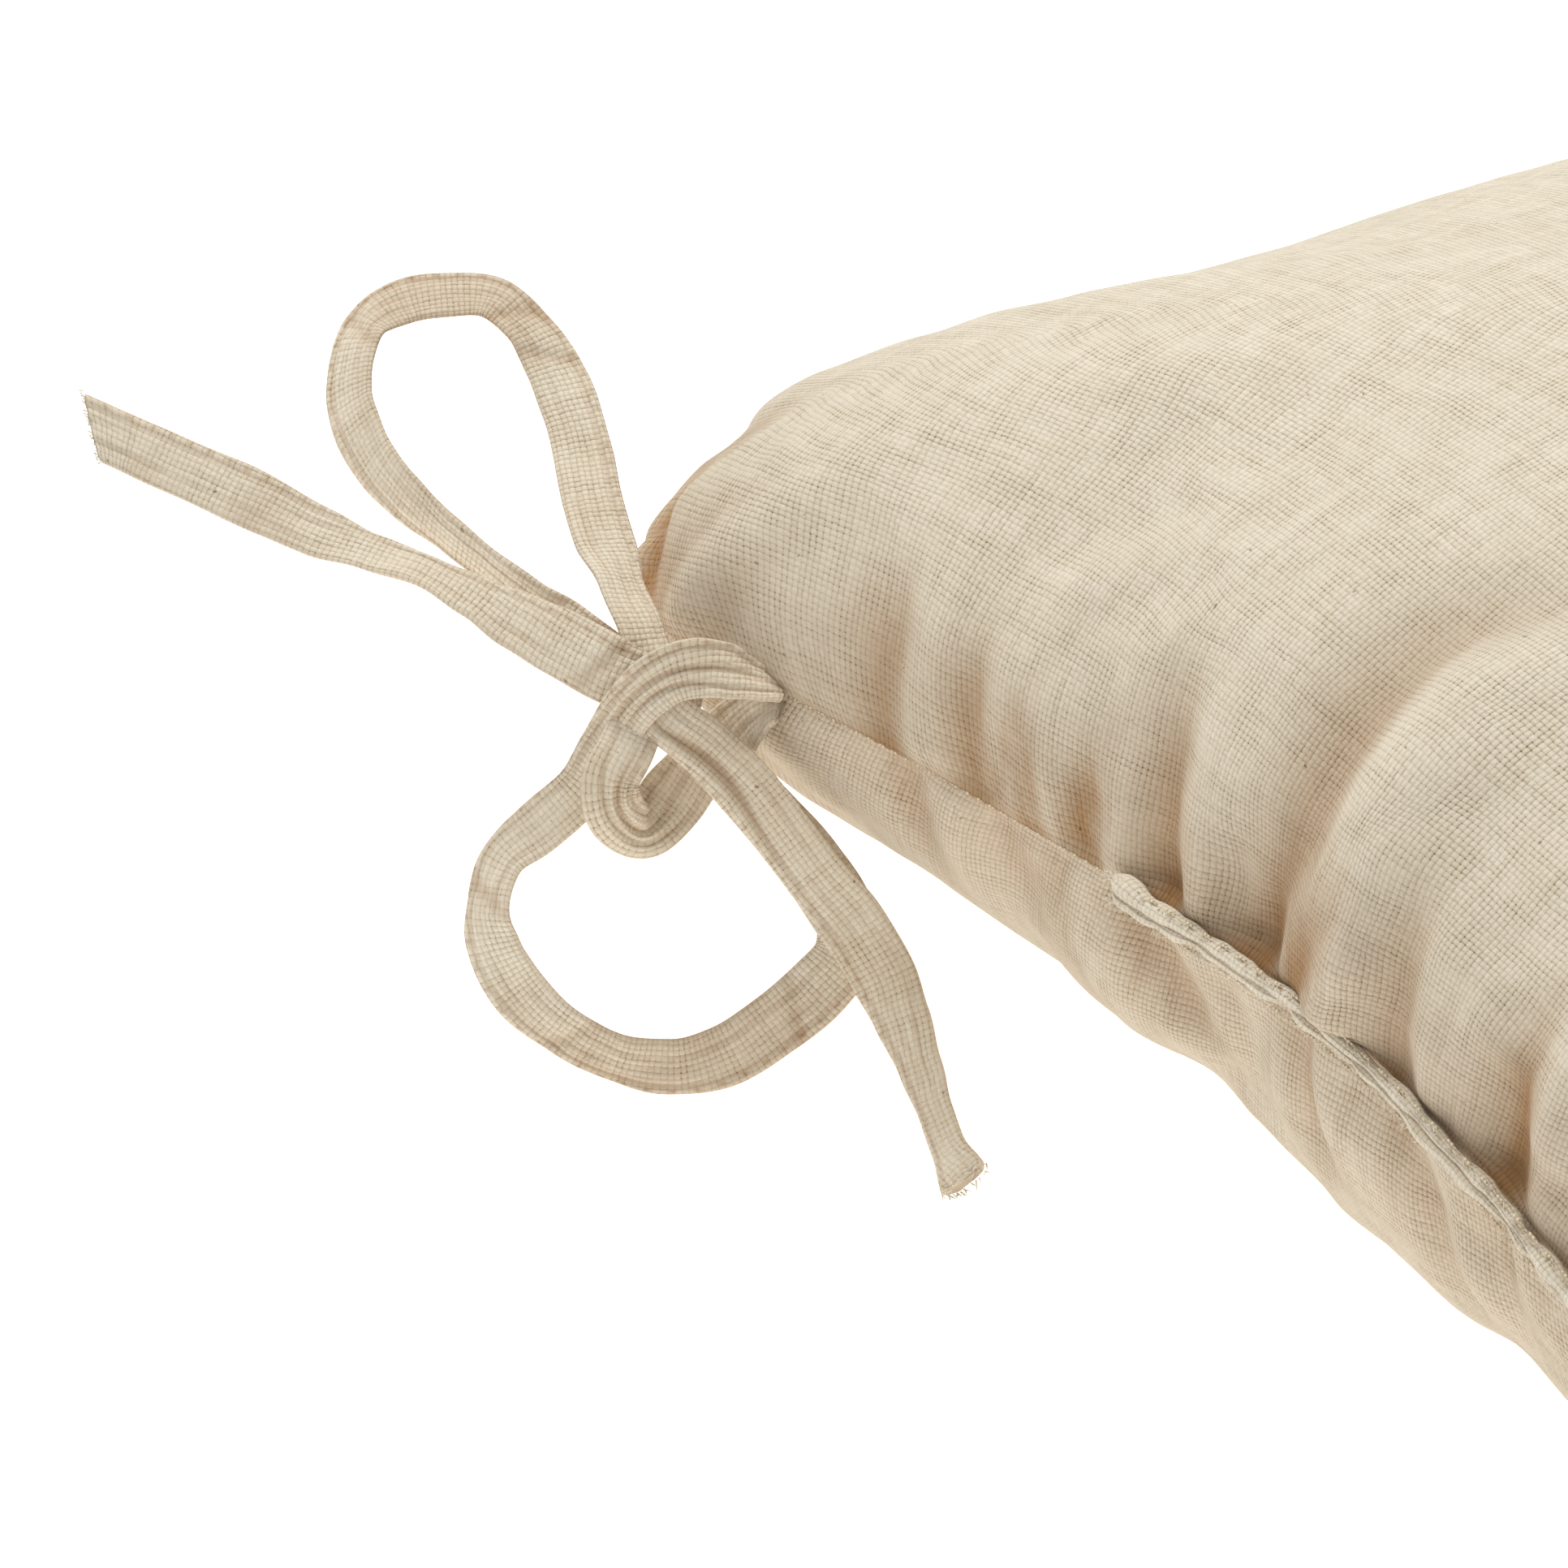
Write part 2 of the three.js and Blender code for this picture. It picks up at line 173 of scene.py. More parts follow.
@dataclass(frozen=True)
class WovenLinen:
    """Coarse plain-weave linen of undyed yarn, washed soft.

    Thick and thin yarn shows as streaks along both directions, the crossings stand up as small
    beads with pinholes between them, the pinholes and the yarns' edges get painted shade,
    and the loose fibre on top takes the shine away.
    """

    name: str
    yarn_light: str = "#ede5d4"
    yarn_dark: str = "#d6c9ae"
    # the colour of the painted shade in the pinholes
    pinhole: str = "#8f7148"
    # the colour that painted shade in creases and folds, and the ties' stitch marks, darken towards
    crease_tint: str = "#b8946c"
    husk: str = "#8a6a44"
    pitch_mm: float = 1.15  # from one yarn to the next, the same in warp and weft
    wander_mm: float = 0.42  # how far a yarn wanders off its line
    wander_length_mm: float = 23.81  # the length over which it wanders
    relief_mm: float = 0.34  # height of a crossing over a pinhole
    fibre_mm: float = 0.3846  # single short fibres on the yarn's back
    cloud_mm: float = 10.526  # cloudy changes of tone from the spinning
    matting_mm: float = 6.25  # worn and matted places
    husk_mm: float = 1.923  # flecks of flax husk
    roughness: float = 0.93
    sheen: float = 0.12

    def make(self) -> Material:
        """Builds the material.

        Returns:
            The woven material, drawn on the piece's own UV map in metres.
        """
        material = blank_material(self.name)
        tree = material.node_tree
        uv = add_node(tree, "UVMap", uv_map="weave").outputs[0]
        lifted, tone, corner = self._crossings(tree, uv)
        fibre = add_node(
            tree,
            "TexNoise",
            {"Vector": uv, "Scale": fineness(self.fibre_mm), "Detail": 2.0, "Roughness": 0.6},
        ).outputs["Fac"]
        height = figure(tree, "MULTIPLY_ADD", fibre, 0.42, figure(tree, "MULTIPLY", lifted, 0.8))
        bump = add_node(
            tree, "Bump", {"Strength": 1.0, "Distance": self.relief_mm * MM, "Height": height}
        ).outputs[0]
        shader = add_node(
            tree,
            "BsdfPrincipled",
            {
                "Base Color": self._colour(tree, uv, lifted, tone, corner),
                "Roughness": self.roughness,
                "Specular IOR Level": 0.25,
                "Sheen Weight": self.sheen,
                "Sheen Roughness": 0.5,
                "Normal": bump,
            },
        )
        add_node(tree, "OutputMaterial", {"Surface": shader.outputs[0]})
        return material

    def _crossings(self, tree: Tree, uv: Socket) -> tuple[Socket, Socket, Socket]:
        """The weave itself: which yarn lies on top, and how high.

        Args:
            tree: The material's node tree.
            uv: Places on the cloth in metres.

        Returns:
            The height of the top yarn, its thickness, and how near a pinhole is, each from 0 to 1.
        """
        drift = add_node(
            tree, "TexNoise", {"Vector": uv, "Scale": fineness(self.wander_length_mm), "Detail": 2.0}
        ).outputs["Color"]
        shift = add_node(tree, "VectorMath", {0: drift, 1: (0.5, 0.5, 0.5)}, operation="SUBTRACT").outputs[0]
        # the noise strays about a quarter either way, so four times the wander
        strayed = (self.wander_mm * 4 * MM,) * 3
        moved = add_node(
            tree, "VectorMath", {0: shift, 1: strayed, 2: uv}, operation="MULTIPLY_ADD"
        ).outputs[0]
        counted = add_node(
            tree, "VectorMath", {0: moved, "Scale": fineness(self.pitch_mm)}, operation="SCALE"
        ).outputs[0]
        across = add_node(tree, "SeparateXYZ", {0: counted})
        warp_at, weft_at = across.outputs[0], across.outputs[1]
        warp_no, weft_no = figure(tree, "FLOOR", warp_at), figure(tree, "FLOOR", weft_at)
        warp_yarn = self._yarn(tree, warp_no, weft_at, 0.0)
        weft_yarn = self._yarn(tree, weft_no, warp_at, 31.0)
        warp = self._round(tree, warp_at, warp_yarn)
        weft = self._round(tree, weft_at, weft_yarn)
        half_sum = figure(tree, "MULTIPLY", figure(tree, "ADD", warp_no, weft_no), 0.5)
        odd = figure(tree, "GREATER_THAN", figure(tree, "FRACT", half_sum), 0.25)
        warp_over = figure(tree, "MULTIPLY", warp, figure(tree, "MULTIPLY_ADD", weft, 0.6, 0.4))
        weft_over = figure(tree, "MULTIPLY", weft, figure(tree, "MULTIPLY_ADD", warp, 0.6, 0.4))
        lifted = add_node(tree, "Mix", {0: odd, 2: warp_over, 3: weft_over}, data_type="FLOAT").outputs[0]
        tone = add_node(tree, "Mix", {0: odd, 2: warp_yarn, 3: weft_yarn}, data_type="FLOAT").outputs[0]
        beside_warp, beside_weft = (figure(tree, "SUBTRACT", 1.0, yarn) for yarn in (warp, weft))
        return lifted, tone, figure(tree, "MULTIPLY", beside_warp, beside_weft)

    def _colour(self, tree: Tree, uv: Socket, lifted: Socket, tone: Socket, corner: Socket) -> Socket:
        """The cloth's colour: yarns, husks, and painted shade in its pinholes, on its yarn edges and in its
        creases.

        Args:
            tree: The material's node tree.
            uv: Places on the cloth in metres.
            lifted: The height of the top yarn.
            tone: Its thickness.
            corner: How near a pinhole is.

        Returns:
            The colour's socket.
        """
        cloud = add_node(
            tree, "TexNoise", {"Vector": uv, "Scale": fineness(self.cloud_mm), "Detail": 4.0}
        ).outputs["Fac"]
        toned = figure(tree, "MULTIPLY_ADD", tone, 0.34, figure(tree, "MULTIPLY_ADD", cloud, 0.55, 0.08))
        yarn_colour = add_node(
            tree,
            "Mix",
            {0: toned, 6: linear(self.yarn_dark), 7: linear(self.yarn_light)},
            data_type="RGBA",
        ).outputs[2]
        # painted shade: the pinholes between the yarns are darkened
        gap = add_node(
            tree, "MapRange", {0: corner, 1: 0.06, 2: 0.5, 3: 0.0, 4: 1.0}, interpolation_type="SMOOTHSTEP"
        ).outputs[0]
        # painted shade on the yarns' edges, where they dip down
        edge = figure(tree, "MULTIPLY", figure(tree, "SUBTRACT", 1.0, lifted), 0.24)
        # worn and matted places show their gaps less than open ones
        matted = add_node(
            tree,
            "TexNoise",
            {"Vector": uv, "Scale": fineness(self.matting_mm), "Detail": 3.0, "Roughness": 0.7},
        ).outputs["Fac"]
        openness = add_node(tree, "MapRange", {0: matted, 1: 0.36, 2: 0.62, 3: 0.22, 4: 1.0}).outputs[0]
        painted_pinhole_shade_share = figure(tree, "MULTIPLY", figure(tree, "MAXIMUM", gap, edge), openness)
        with_painted_pinhole_shade = add_node(
            tree, "Mix", {0: painted_pinhole_shade_share, 6: yarn_colour, 7: linear(self.pinhole)}, data_type="RGBA"
        ).outputs[2]
        speck = add_node(
            tree, "TexNoise", {"Vector": uv, "Scale": fineness(self.husk_mm), "Detail": 1.0}
        ).outputs["Fac"]
        husk_share = add_node(tree, "MapRange", {0: speck, 1: 0.76, 2: 0.82, 3: 0.0, 4: 0.75}).outputs[0]
        flecked = add_node(
            tree, "Mix", {0: husk_share, 6: with_painted_pinhole_shade, 7: linear(self.husk)}, data_type="RGBA"
        ).outputs[2]
        # painted shade: an attribute darkens the cloth in creases, folds, grooves and by the seam; on the
        # ties it also holds stitch marks and blotches of tone
        crease = add_node(tree, "Attribute", attribute_name="crease").outputs["Fac"]
        return add_node(
            tree,
            "Mix",
            {0: crease, 6: flecked, 7: linear(self.crease_tint)},
            data_type="RGBA",
            blend_type="MULTIPLY",
        ).outputs[2]

    def _yarn(self, tree: Tree, number: Socket, along: Socket, seed: float) -> Socket:
        """The thickness of one yarn, from 0 to 1, which changes slowly along it.

        Args:
            tree: The material's node tree.
            number: The yarn's number.
            along: Distance along the yarn, in yarns.
            seed: Sets warp and weft apart.

        Returns:
            The thickness's socket.
        """
        # far apart from yarn to yarn, and one slub in about eighteen yarns' length
        row, run = figure(tree, "MULTIPLY", number, 3.71), figure(tree, "MULTIPLY", along, 0.055)
        place = add_node(tree, "CombineXYZ", {0: row, 1: run, 2: seed}).outputs[0]
        slub = add_node(tree, "TexNoise", {"Vector": place, "Scale": 1.0, "Detail": 1.5}).outputs["Fac"]
        return add_node(tree, "MapRange", {0: slub, 1: 0.3, 2: 0.7, 3: 0.0, 4: 1.0}).outputs[0]

    def _round(self, tree: Tree, at: Socket, thickness: Socket) -> Socket:
        """The rounded back of a yarn: 1 along its middle and 0 at its edges.

        Args:
            tree: The material's node tree.
            at: Distance across the yarns, in yarns.
            thickness: The yarn's thickness from 0 to 1.

        Returns:
            The profile's socket.
        """
        off = figure(tree, "MULTIPLY_ADD", figure(tree, "FRACT", at), 2.0, -1.0)
        width = figure(tree, "MULTIPLY_ADD", thickness, 0.4, 0.95)
        share = figure(tree, "DIVIDE", off, width)
        hollow = figure(tree, "SUBTRACT", 1.0, figure(tree, "MULTIPLY", share, share))
        return figure(tree, "MAXIMUM", hollow, 0.0)


@dataclass(frozen=True)
class SpunThread:
    """Spun polyester sewing thread: two plies twisted together, slightly hairy and dull."""

    name: str = "spun_thread"
    light: str = "#e6dcc6"
    # the colour of the painted shade in the grooves between the plies
    dark: str = "#b39c75"
    ply_mm: float = 3.125  # the pattern's size, which shows the plies as bands about 0.5 mm apart
    relief_mm: float = 0.08
    roughness: float = 0.8

    def make(self) -> Material:
        """Builds the material.

        Returns:
            The thread's material, drawn on Object coordinates.
        """
        material = blank_material(self.name)
        tree = material.node_tree
        place = add_node(tree, "TexCoord").outputs["Object"]
        plies = add_node(
            tree,
            "TexWave",
            {"Vector": place, "Scale": fineness(self.ply_mm), "Distortion": 3.0, "Detail": 1.0},
        ).outputs["Fac"]
        # painted shade: the grooves between the plies, where the bump is low, take the darker colour
        colour = add_node(
            tree, "Mix", {0: plies, 6: linear(self.dark), 7: linear(self.light)}, data_type="RGBA"
        ).outputs[2]
        bump = add_node(
            tree, "Bump", {"Strength": 0.6, "Distance": self.relief_mm * MM, "Height": plies}
        ).outputs[0]
        shader = add_node(
            tree, "BsdfPrincipled", {"Base Color": colour, "Roughness": self.roughness, "Normal": bump}
        )
        add_node(tree, "OutputMaterial", {"Surface": shader.outputs[0]})
        return material


@dataclass(frozen=True)
class LooseFibre:
    """Hollow polyester fibre filling: white, matt and matted into soft clumps."""

    name: str = "loose_fibre"
    light: str = "#f4f1ea"
    shade: str = "#d8d2c4"
    clump_mm: float = 9.0
    relief_mm: float = 1.5
    roughness: float = 0.95

    def make(self) -> Material:
        """Builds the material.

        Returns:
            The filling's material, drawn on Object coordinates.
        """
        material = blank_material(self.name)
        tree = material.node_tree
        place = add_node(tree, "TexCoord").outputs["Object"]
        clump = add_node(
            tree, "TexNoise", {"Vector": place, "Scale": fineness(self.clump_mm), "Detail": 6.0}
        ).outputs["Fac"]
        colour = add_node(
            tree, "Mix", {0: clump, 6: linear(self.shade), 7: linear(self.light)}, data_type="RGBA"
        ).outputs[2]
        bump = add_node(
            tree, "Bump", {"Strength": 0.8, "Distance": self.relief_mm * MM, "Height": clump}
        ).outputs[0]
        shader = add_node(
            tree, "BsdfPrincipled", {"Base Color": colour, "Roughness": self.roughness, "Normal": bump}
        )
        add_node(tree, "OutputMaterial", {"Surface": shader.outputs[0]})
        return material


@dataclass(frozen=True)
class PaintedFloor:
    """White studio floor with a matt paint."""

    name: str = "painted_floor"
    colour: str = "#ffffff"
    glow: float = 0.6

    def make(self) -> Material:
        """Builds the material.

        Returns:
            The floor's material.
        """
        material = blank_material(self.name)
        tree = material.node_tree
        shader = add_node(
            tree,
            "BsdfPrincipled",
            {
                "Base Color": linear(self.colour),
                "Roughness": 1.0,
                "Specular IOR Level": 0.0,
                "Emission Color": linear(self.colour),
                "Emission Strength": self.glow,
            },
        )
        add_node(tree, "OutputMaterial", {"Surface": shader.outputs[0]})
        return material


# ---------------------------------------------------------------- meshes


def place_mesh(name: str, mesh_maker: bmesh.types.BMesh, finish: Material, levels: int = 0) -> Piece:
    """Turns a bmesh into a smooth-shaded object at the origin.

    Args:
        name: The piece's name.
        mesh_maker: The bmesh, which is freed.
        finish: Its material.
        levels: Subdivision levels, the same in the view and the render.

    Returns:
        The new object.
    """
    mesh = bpy.data.meshes.new(name)
    for face in mesh_maker.faces:
        face.smooth = True
    mesh_maker.to_mesh(mesh)
    mesh_maker.free()
    mesh.materials.append(finish)
    piece = bpy.data.objects.new(name, mesh)
    bpy.context.collection.objects.link(piece)
    if levels:
        rounder = piece.modifiers.new("rounder", "SUBSURF")
        rounder.levels = rounder.render_levels = levels
        rounder.uv_smooth = "PRESERVE_BOUNDARIES"
    return piece


def smoothstep(values: np.ndarray, low: float, high: float) -> np.ndarray:
    """Eases from 0 at low to 1 at high.

    Args:
        values: The numbers to ease.
        low: Where the rise starts.
        high: Where it ends.

    Returns:
        The eased numbers.
    """
    share = np.clip((values - low) / (high - low), 0, 1)
    return share * share * (3 - 2 * share)


def ripples(places: np.ndarray, size: float, seed: float) -> np.ndarray:
    """Soft noise from -1 to 1 at many places.

    Args:
        places: Rows of three coordinates in metres.
        size: The width of one ripple in metres.
        seed: Moves the pattern.

    Returns:
        One number for each place.
    """
    offset = Vector((seed * 7.3, seed * 3.1, seed * 11.7))
    return np.array([noise.noise(Vector(p) / size + offset) for p in places])


# ---------------------------------------------------------------- ties


def loose_fibres(
    name: str, roots: list[tuple[Vector, Vector]], count: int, length: float, yarn: Material
) -> Piece:
    """Loose fibres that stand out of cut or rubbed cloth.

    Args:
        name: The piece's name.
        roots: Places that they grow from, each with the way that they point.
        count: How many there are.
        length: Their usual length in metres.
        yarn: Their material.

    Returns:
        The fibres as one piece.
    """
    root_radius, tip_radius, straying, sunk = 0.12 * MM, 0.04 * MM, 0.55, 0.3
    rng = np.random.default_rng(len(name) + count)
    tuft = bmesh.new()
    for _ in range(count):
        start, way = roots[int(rng.integers(len(roots)))]
        aim = (way + Vector(rng.normal(0, straying, 3))).normalized()
        long = float(rng.uniform(0.4, 1.4)) * length
        made = bmesh.ops.create_cone(
            tuft, segments=4, radius1=root_radius, radius2=tip_radius, depth=long, cap_ends=True
        )["verts"]
        turn = aim.to_track_quat("Z", "X").to_matrix()
        for vert in made:
            vert.co = start + aim * (long * sunk) + turn @ vert.co
            vert.co.z = max(vert.co.z, FLOOR_GAP)
    return place_mesh(name, tuft, yarn)


def close_tube(tube: bmesh.types.BMesh) -> None:
    """Joins a rolled-up grid along its length, closes its ends and turns its faces outwards."""
    bmesh.ops.remove_doubles(tube, verts=tube.verts[:], dist=SAME_POINT)
    bmesh.ops.holes_fill(tube, edges=[e for e in tube.edges if e.is_boundary], sides=0)
    bmesh.ops.recalc_face_normals(tube, faces=tube.faces[:])


def bell(distance: float, reach: float) -> float:
    """A smooth hump: 1 at no distance, and nearly 0 past twice the reach."""
    return math.exp(-((distance / reach) ** 2))


@dataclass
class TapeLine:
    """A smooth line through a tie's points, with the turn and the width of the tape at each of them."""

    points: list[Vector]
    turns: list[float]
    widths: list[float]
    fine_steps: int = 3000

    def at(self, place: float) -> tuple[Vector, float, float]:
        """The line's point, turn and width.

        Args:
            place: From 0 at the first point to 1 at the last.

        Returns:
            The point in the row frame, the turn in radians, and the share of the full width.
        """
        spans = len(self.points) - 1
        scaled = min(max(place, 0.0), 1.0) * spans
        first = min(int(scaled), spans - 1)
        share = scaled - first
        a, b = self.points[first], self.points[first + 1]
        before = self.points[first - 1] if first else a * 2 - b
        after = self.points[first + 2] if first + 2 <= spans else b * 2 - a
        gaps = [max((q - p).length ** 0.5, 1e-6) for p, q in ((before, a), (a, b), (b, after))]
        start = ((a - before) / gaps[0] - (b - before) / (gaps[0] + gaps[1]) + (b - a) / gaps[1]) * gaps[1]
        end = ((b - a) / gaps[1] - (after - a) / (gaps[1] + gaps[2]) + (after - b) / gaps[2]) * gaps[1]
        point = (
            a
            + start * share
            + ((b - a) * 3 - start * 2 - end) * share**2
            + ((a - b) * 2 + start + end) * share**3
        )
        ease = share * share * (3 - 2 * share)
        turn = self.turns[first] + (self.turns[first + 1] - self.turns[first]) * ease
        width = self.widths[first] + (self.widths[first + 1] - self.widths[first]) * ease
        return point, turn, width

    def spaced(self, step: float) -> list[tuple[Vector, float, float]]:
        """Points, turns and widths an equal distance apart.

        Args:
            step: The distance in metres.

        Returns:
            One point, turn and width for each stop.
        """
        fine = [self.at(i / self.fine_steps) for i in range(self.fine_steps + 1)]
        gone = np.concatenate([[0], np.cumsum([(q[0] - p[0]).length for p, q in zip(fine, fine[1:])])])
        count = max(4, round(gone[-1] / step))
        chosen = np.searchsorted(gone, np.linspace(0, gone[-1], count + 1)).clip(0, self.fine_steps)
        return [fine[i] for i in chosen]


@dataclass(frozen=True)
class Tape:
    """One of a bow's two ties: where it runs, and how its cloth is creased.

    A route point is out, up, near, turn and width: out along the corner, up the face of the bow,
    near out of that face, in millimetres, the turn of the tape about its own length in degrees,
    and its width there as a share of the full width, less where the cloth is bunched. Places along
    the tape are in millimetres from the seam.
    """

    word: str
    route: tuple[tuple[float, ...], ...]
    kinks: tuple[float, ...]  # sharp folds across the tape
    inner_face: tuple[float, float]  # the stretch that shows the darker inner face
    bunched_at: float  # where it is bunched in the knot
    end_slant: float  # how slantwise its end is cut
    crease_seed: float
    # the stretch that shows the inner face, darkened with painted shade
    crinkle_seed: float
    gap_from_end: float | None = None  # where its fold gapes, on a tape whose end is rolled up thick


UNDER_TAPE = Tape(
    word="under",
    route=(
        (-1.5, -1.1, -0.6, 54, 0.9), (3.5, -3, -4, 30, 1), (9, -7.5, -8.8, 4, 1),
        (13.5, -12, -10.8, 0, 0.98), (18.8, -18.4, -10, -8, 1.12), (24, -24.6, -5, -14, 0.95),
        (29, -21.6, 2, 6, 1.02), (30, -15.6, 4.8, 10, 0.9), (27, -9.2, 4.2, 0, 0.9),
        (23.1, 3.3, -0.6, 0, 0.9), (24.6, 12, -2.8, 35, 0.85), (28.4, 20.6, -9, 42, 0.9),
        (31.8, 29, -17, 22, 1), (34.5, 37.9, -24, 8, 1), (36.4, 46.7, -30, 6, 1),
        (38.7, 54.8, -34, 12, 1), (42.2, 63.2, -37.5, 26, 1), (47.5, 71.4, -39.5, 42, 1),
        (54.2, 76.7, -40.5, 42, 1), (62.4, 77.1, -40.5, 38, 1), (70.7, 75.8, -40, 38, 1),
        (77.7, 71.3, -38, 46, 1.05), (80.3, 64, -35, 42, 1), (80.5, 56.7, -32, 36, 1),
        (78.7, 50.7, -29, 32, 1), (75, 44.1, -26, 34, 0.98), (68.9, 37.4, -22, 40, 0.95),
        (61.1, 30.9, -18, 50, 0.85), (54, 25, -15, 52, 0.8), (46, 18.6, -12.5, 40, 0.85),
        (37.6, 12.2, -10, 20, 0.9), (28.5, 4.9, -7.5, 5, 0.9), (19.7, -3.9, 3.6, 0, 0.85),
        (12.9, -9.3, 3, 0, 0.95), (5.9, -16.4, 2, 4, 1), (-1, -24.7, 0.8, 8, 0.98),
        (-7.9, -33.7, -0.8, 6, 1), (-14.5, -42.4, -2.4, -4, 1.08), (-19.6, -50.8, -3.2, -6, 1.08),
        (-23.4, -59.4, -2.6, 4, 0.92), (-26.7, -68.2, -0.4, 14, 0.74), (-29.3, -75.8, 3.2, 24, 0.6),
        (-31.5, -82.1, 7.2, 18, 0.6), (-34.4, -88.3, 11.6, 6, 0.82),
    ),
    kinks=(153, 164, 197, 272),
    inner_face=(155, 196),
    bunched_at=45,
    end_slant=0.2,
    crease_seed=8.0,
    crinkle_seed=9.0,
    gap_from_end=92,
)
OVER_TAPE = Tape(
    word="over",
    route=(
        (-1.5, 1.1, 0.6, 54, 0.55), (3.5, 2.8, 2.6, 36, 0.75), (9, 4.6, 5.4, 14, 0.92),
        (15, 5, 7, -6, 0.98), (20.8, 3, 7.4, -12, 0.95), (26.2, -1.8, 5.2, 0, 0.88),
        (31, -9.2, -0.4, 6, 0.85), (35.8, -17, -5.2, 0, 0.85), (43.5, -23.9, -6.8, 6, 0.88),
        (50.5, -30.2, -6.8, 30, 0.85), (52.9, -38, -6.4, 40, 0.9), (52.1, -45.8, -8, 28, 1),
        (47.4, -54.6, -9.6, 10, 0.95), (39.3, -61.8, -10.8, 26, 0.9), (29.7, -66.7, -11.8, 30, 0.9),
        (19.5, -68.6, -12.6, 16, 0.95), (9.8, -66.8, -12.8, 4, 1.02), (0.8, -61.3, -12.4, 0, 1.05),
        (-8, -54, -11.6, 0, 1.05), (-13.1, -47.1, -10.8, 0, 1), (-12.5, -38.9, -9.8, 0, 0.95),
        (-7.5, -30.5, -8, 0, 0.9), (0.3, -21.8, -5.4, 0, 0.9), (8.5, -13.7, -3, 0, 0.9),
        (16, -7, -2, 0, 0.9), (21, -2.8, -1.6, 0, 0.9), (22.2, 0.3, 0.6, -4, 0.95),
        (31.7, 5.6, 1, -6, 1.12), (39.5, 9.9, -1.6, 4, 1.1), (47.1, 13.8, -3.6, 16, 1),
        (55.4, 18.4, -6, 34, 0.85), (64.6, 23.2, -8, 50, 0.78), (75.1, 26.9, -10, 44, 0.82),
        (85.1, 30.8, -12, 24, 0.92), (99, 37.7, -15, 8, 1), (113.8, 44.3, -19, 0, 0.95),
        (128.4, 50.9, -23, 0, 0.92),
    ),
    kinks=(80, 112, 158, 246),
    inner_face=(112, 158),
    bunched_at=22,
    end_slant=0.85,
    crease_seed=3.0,
    crinkle_seed=5.0,
)


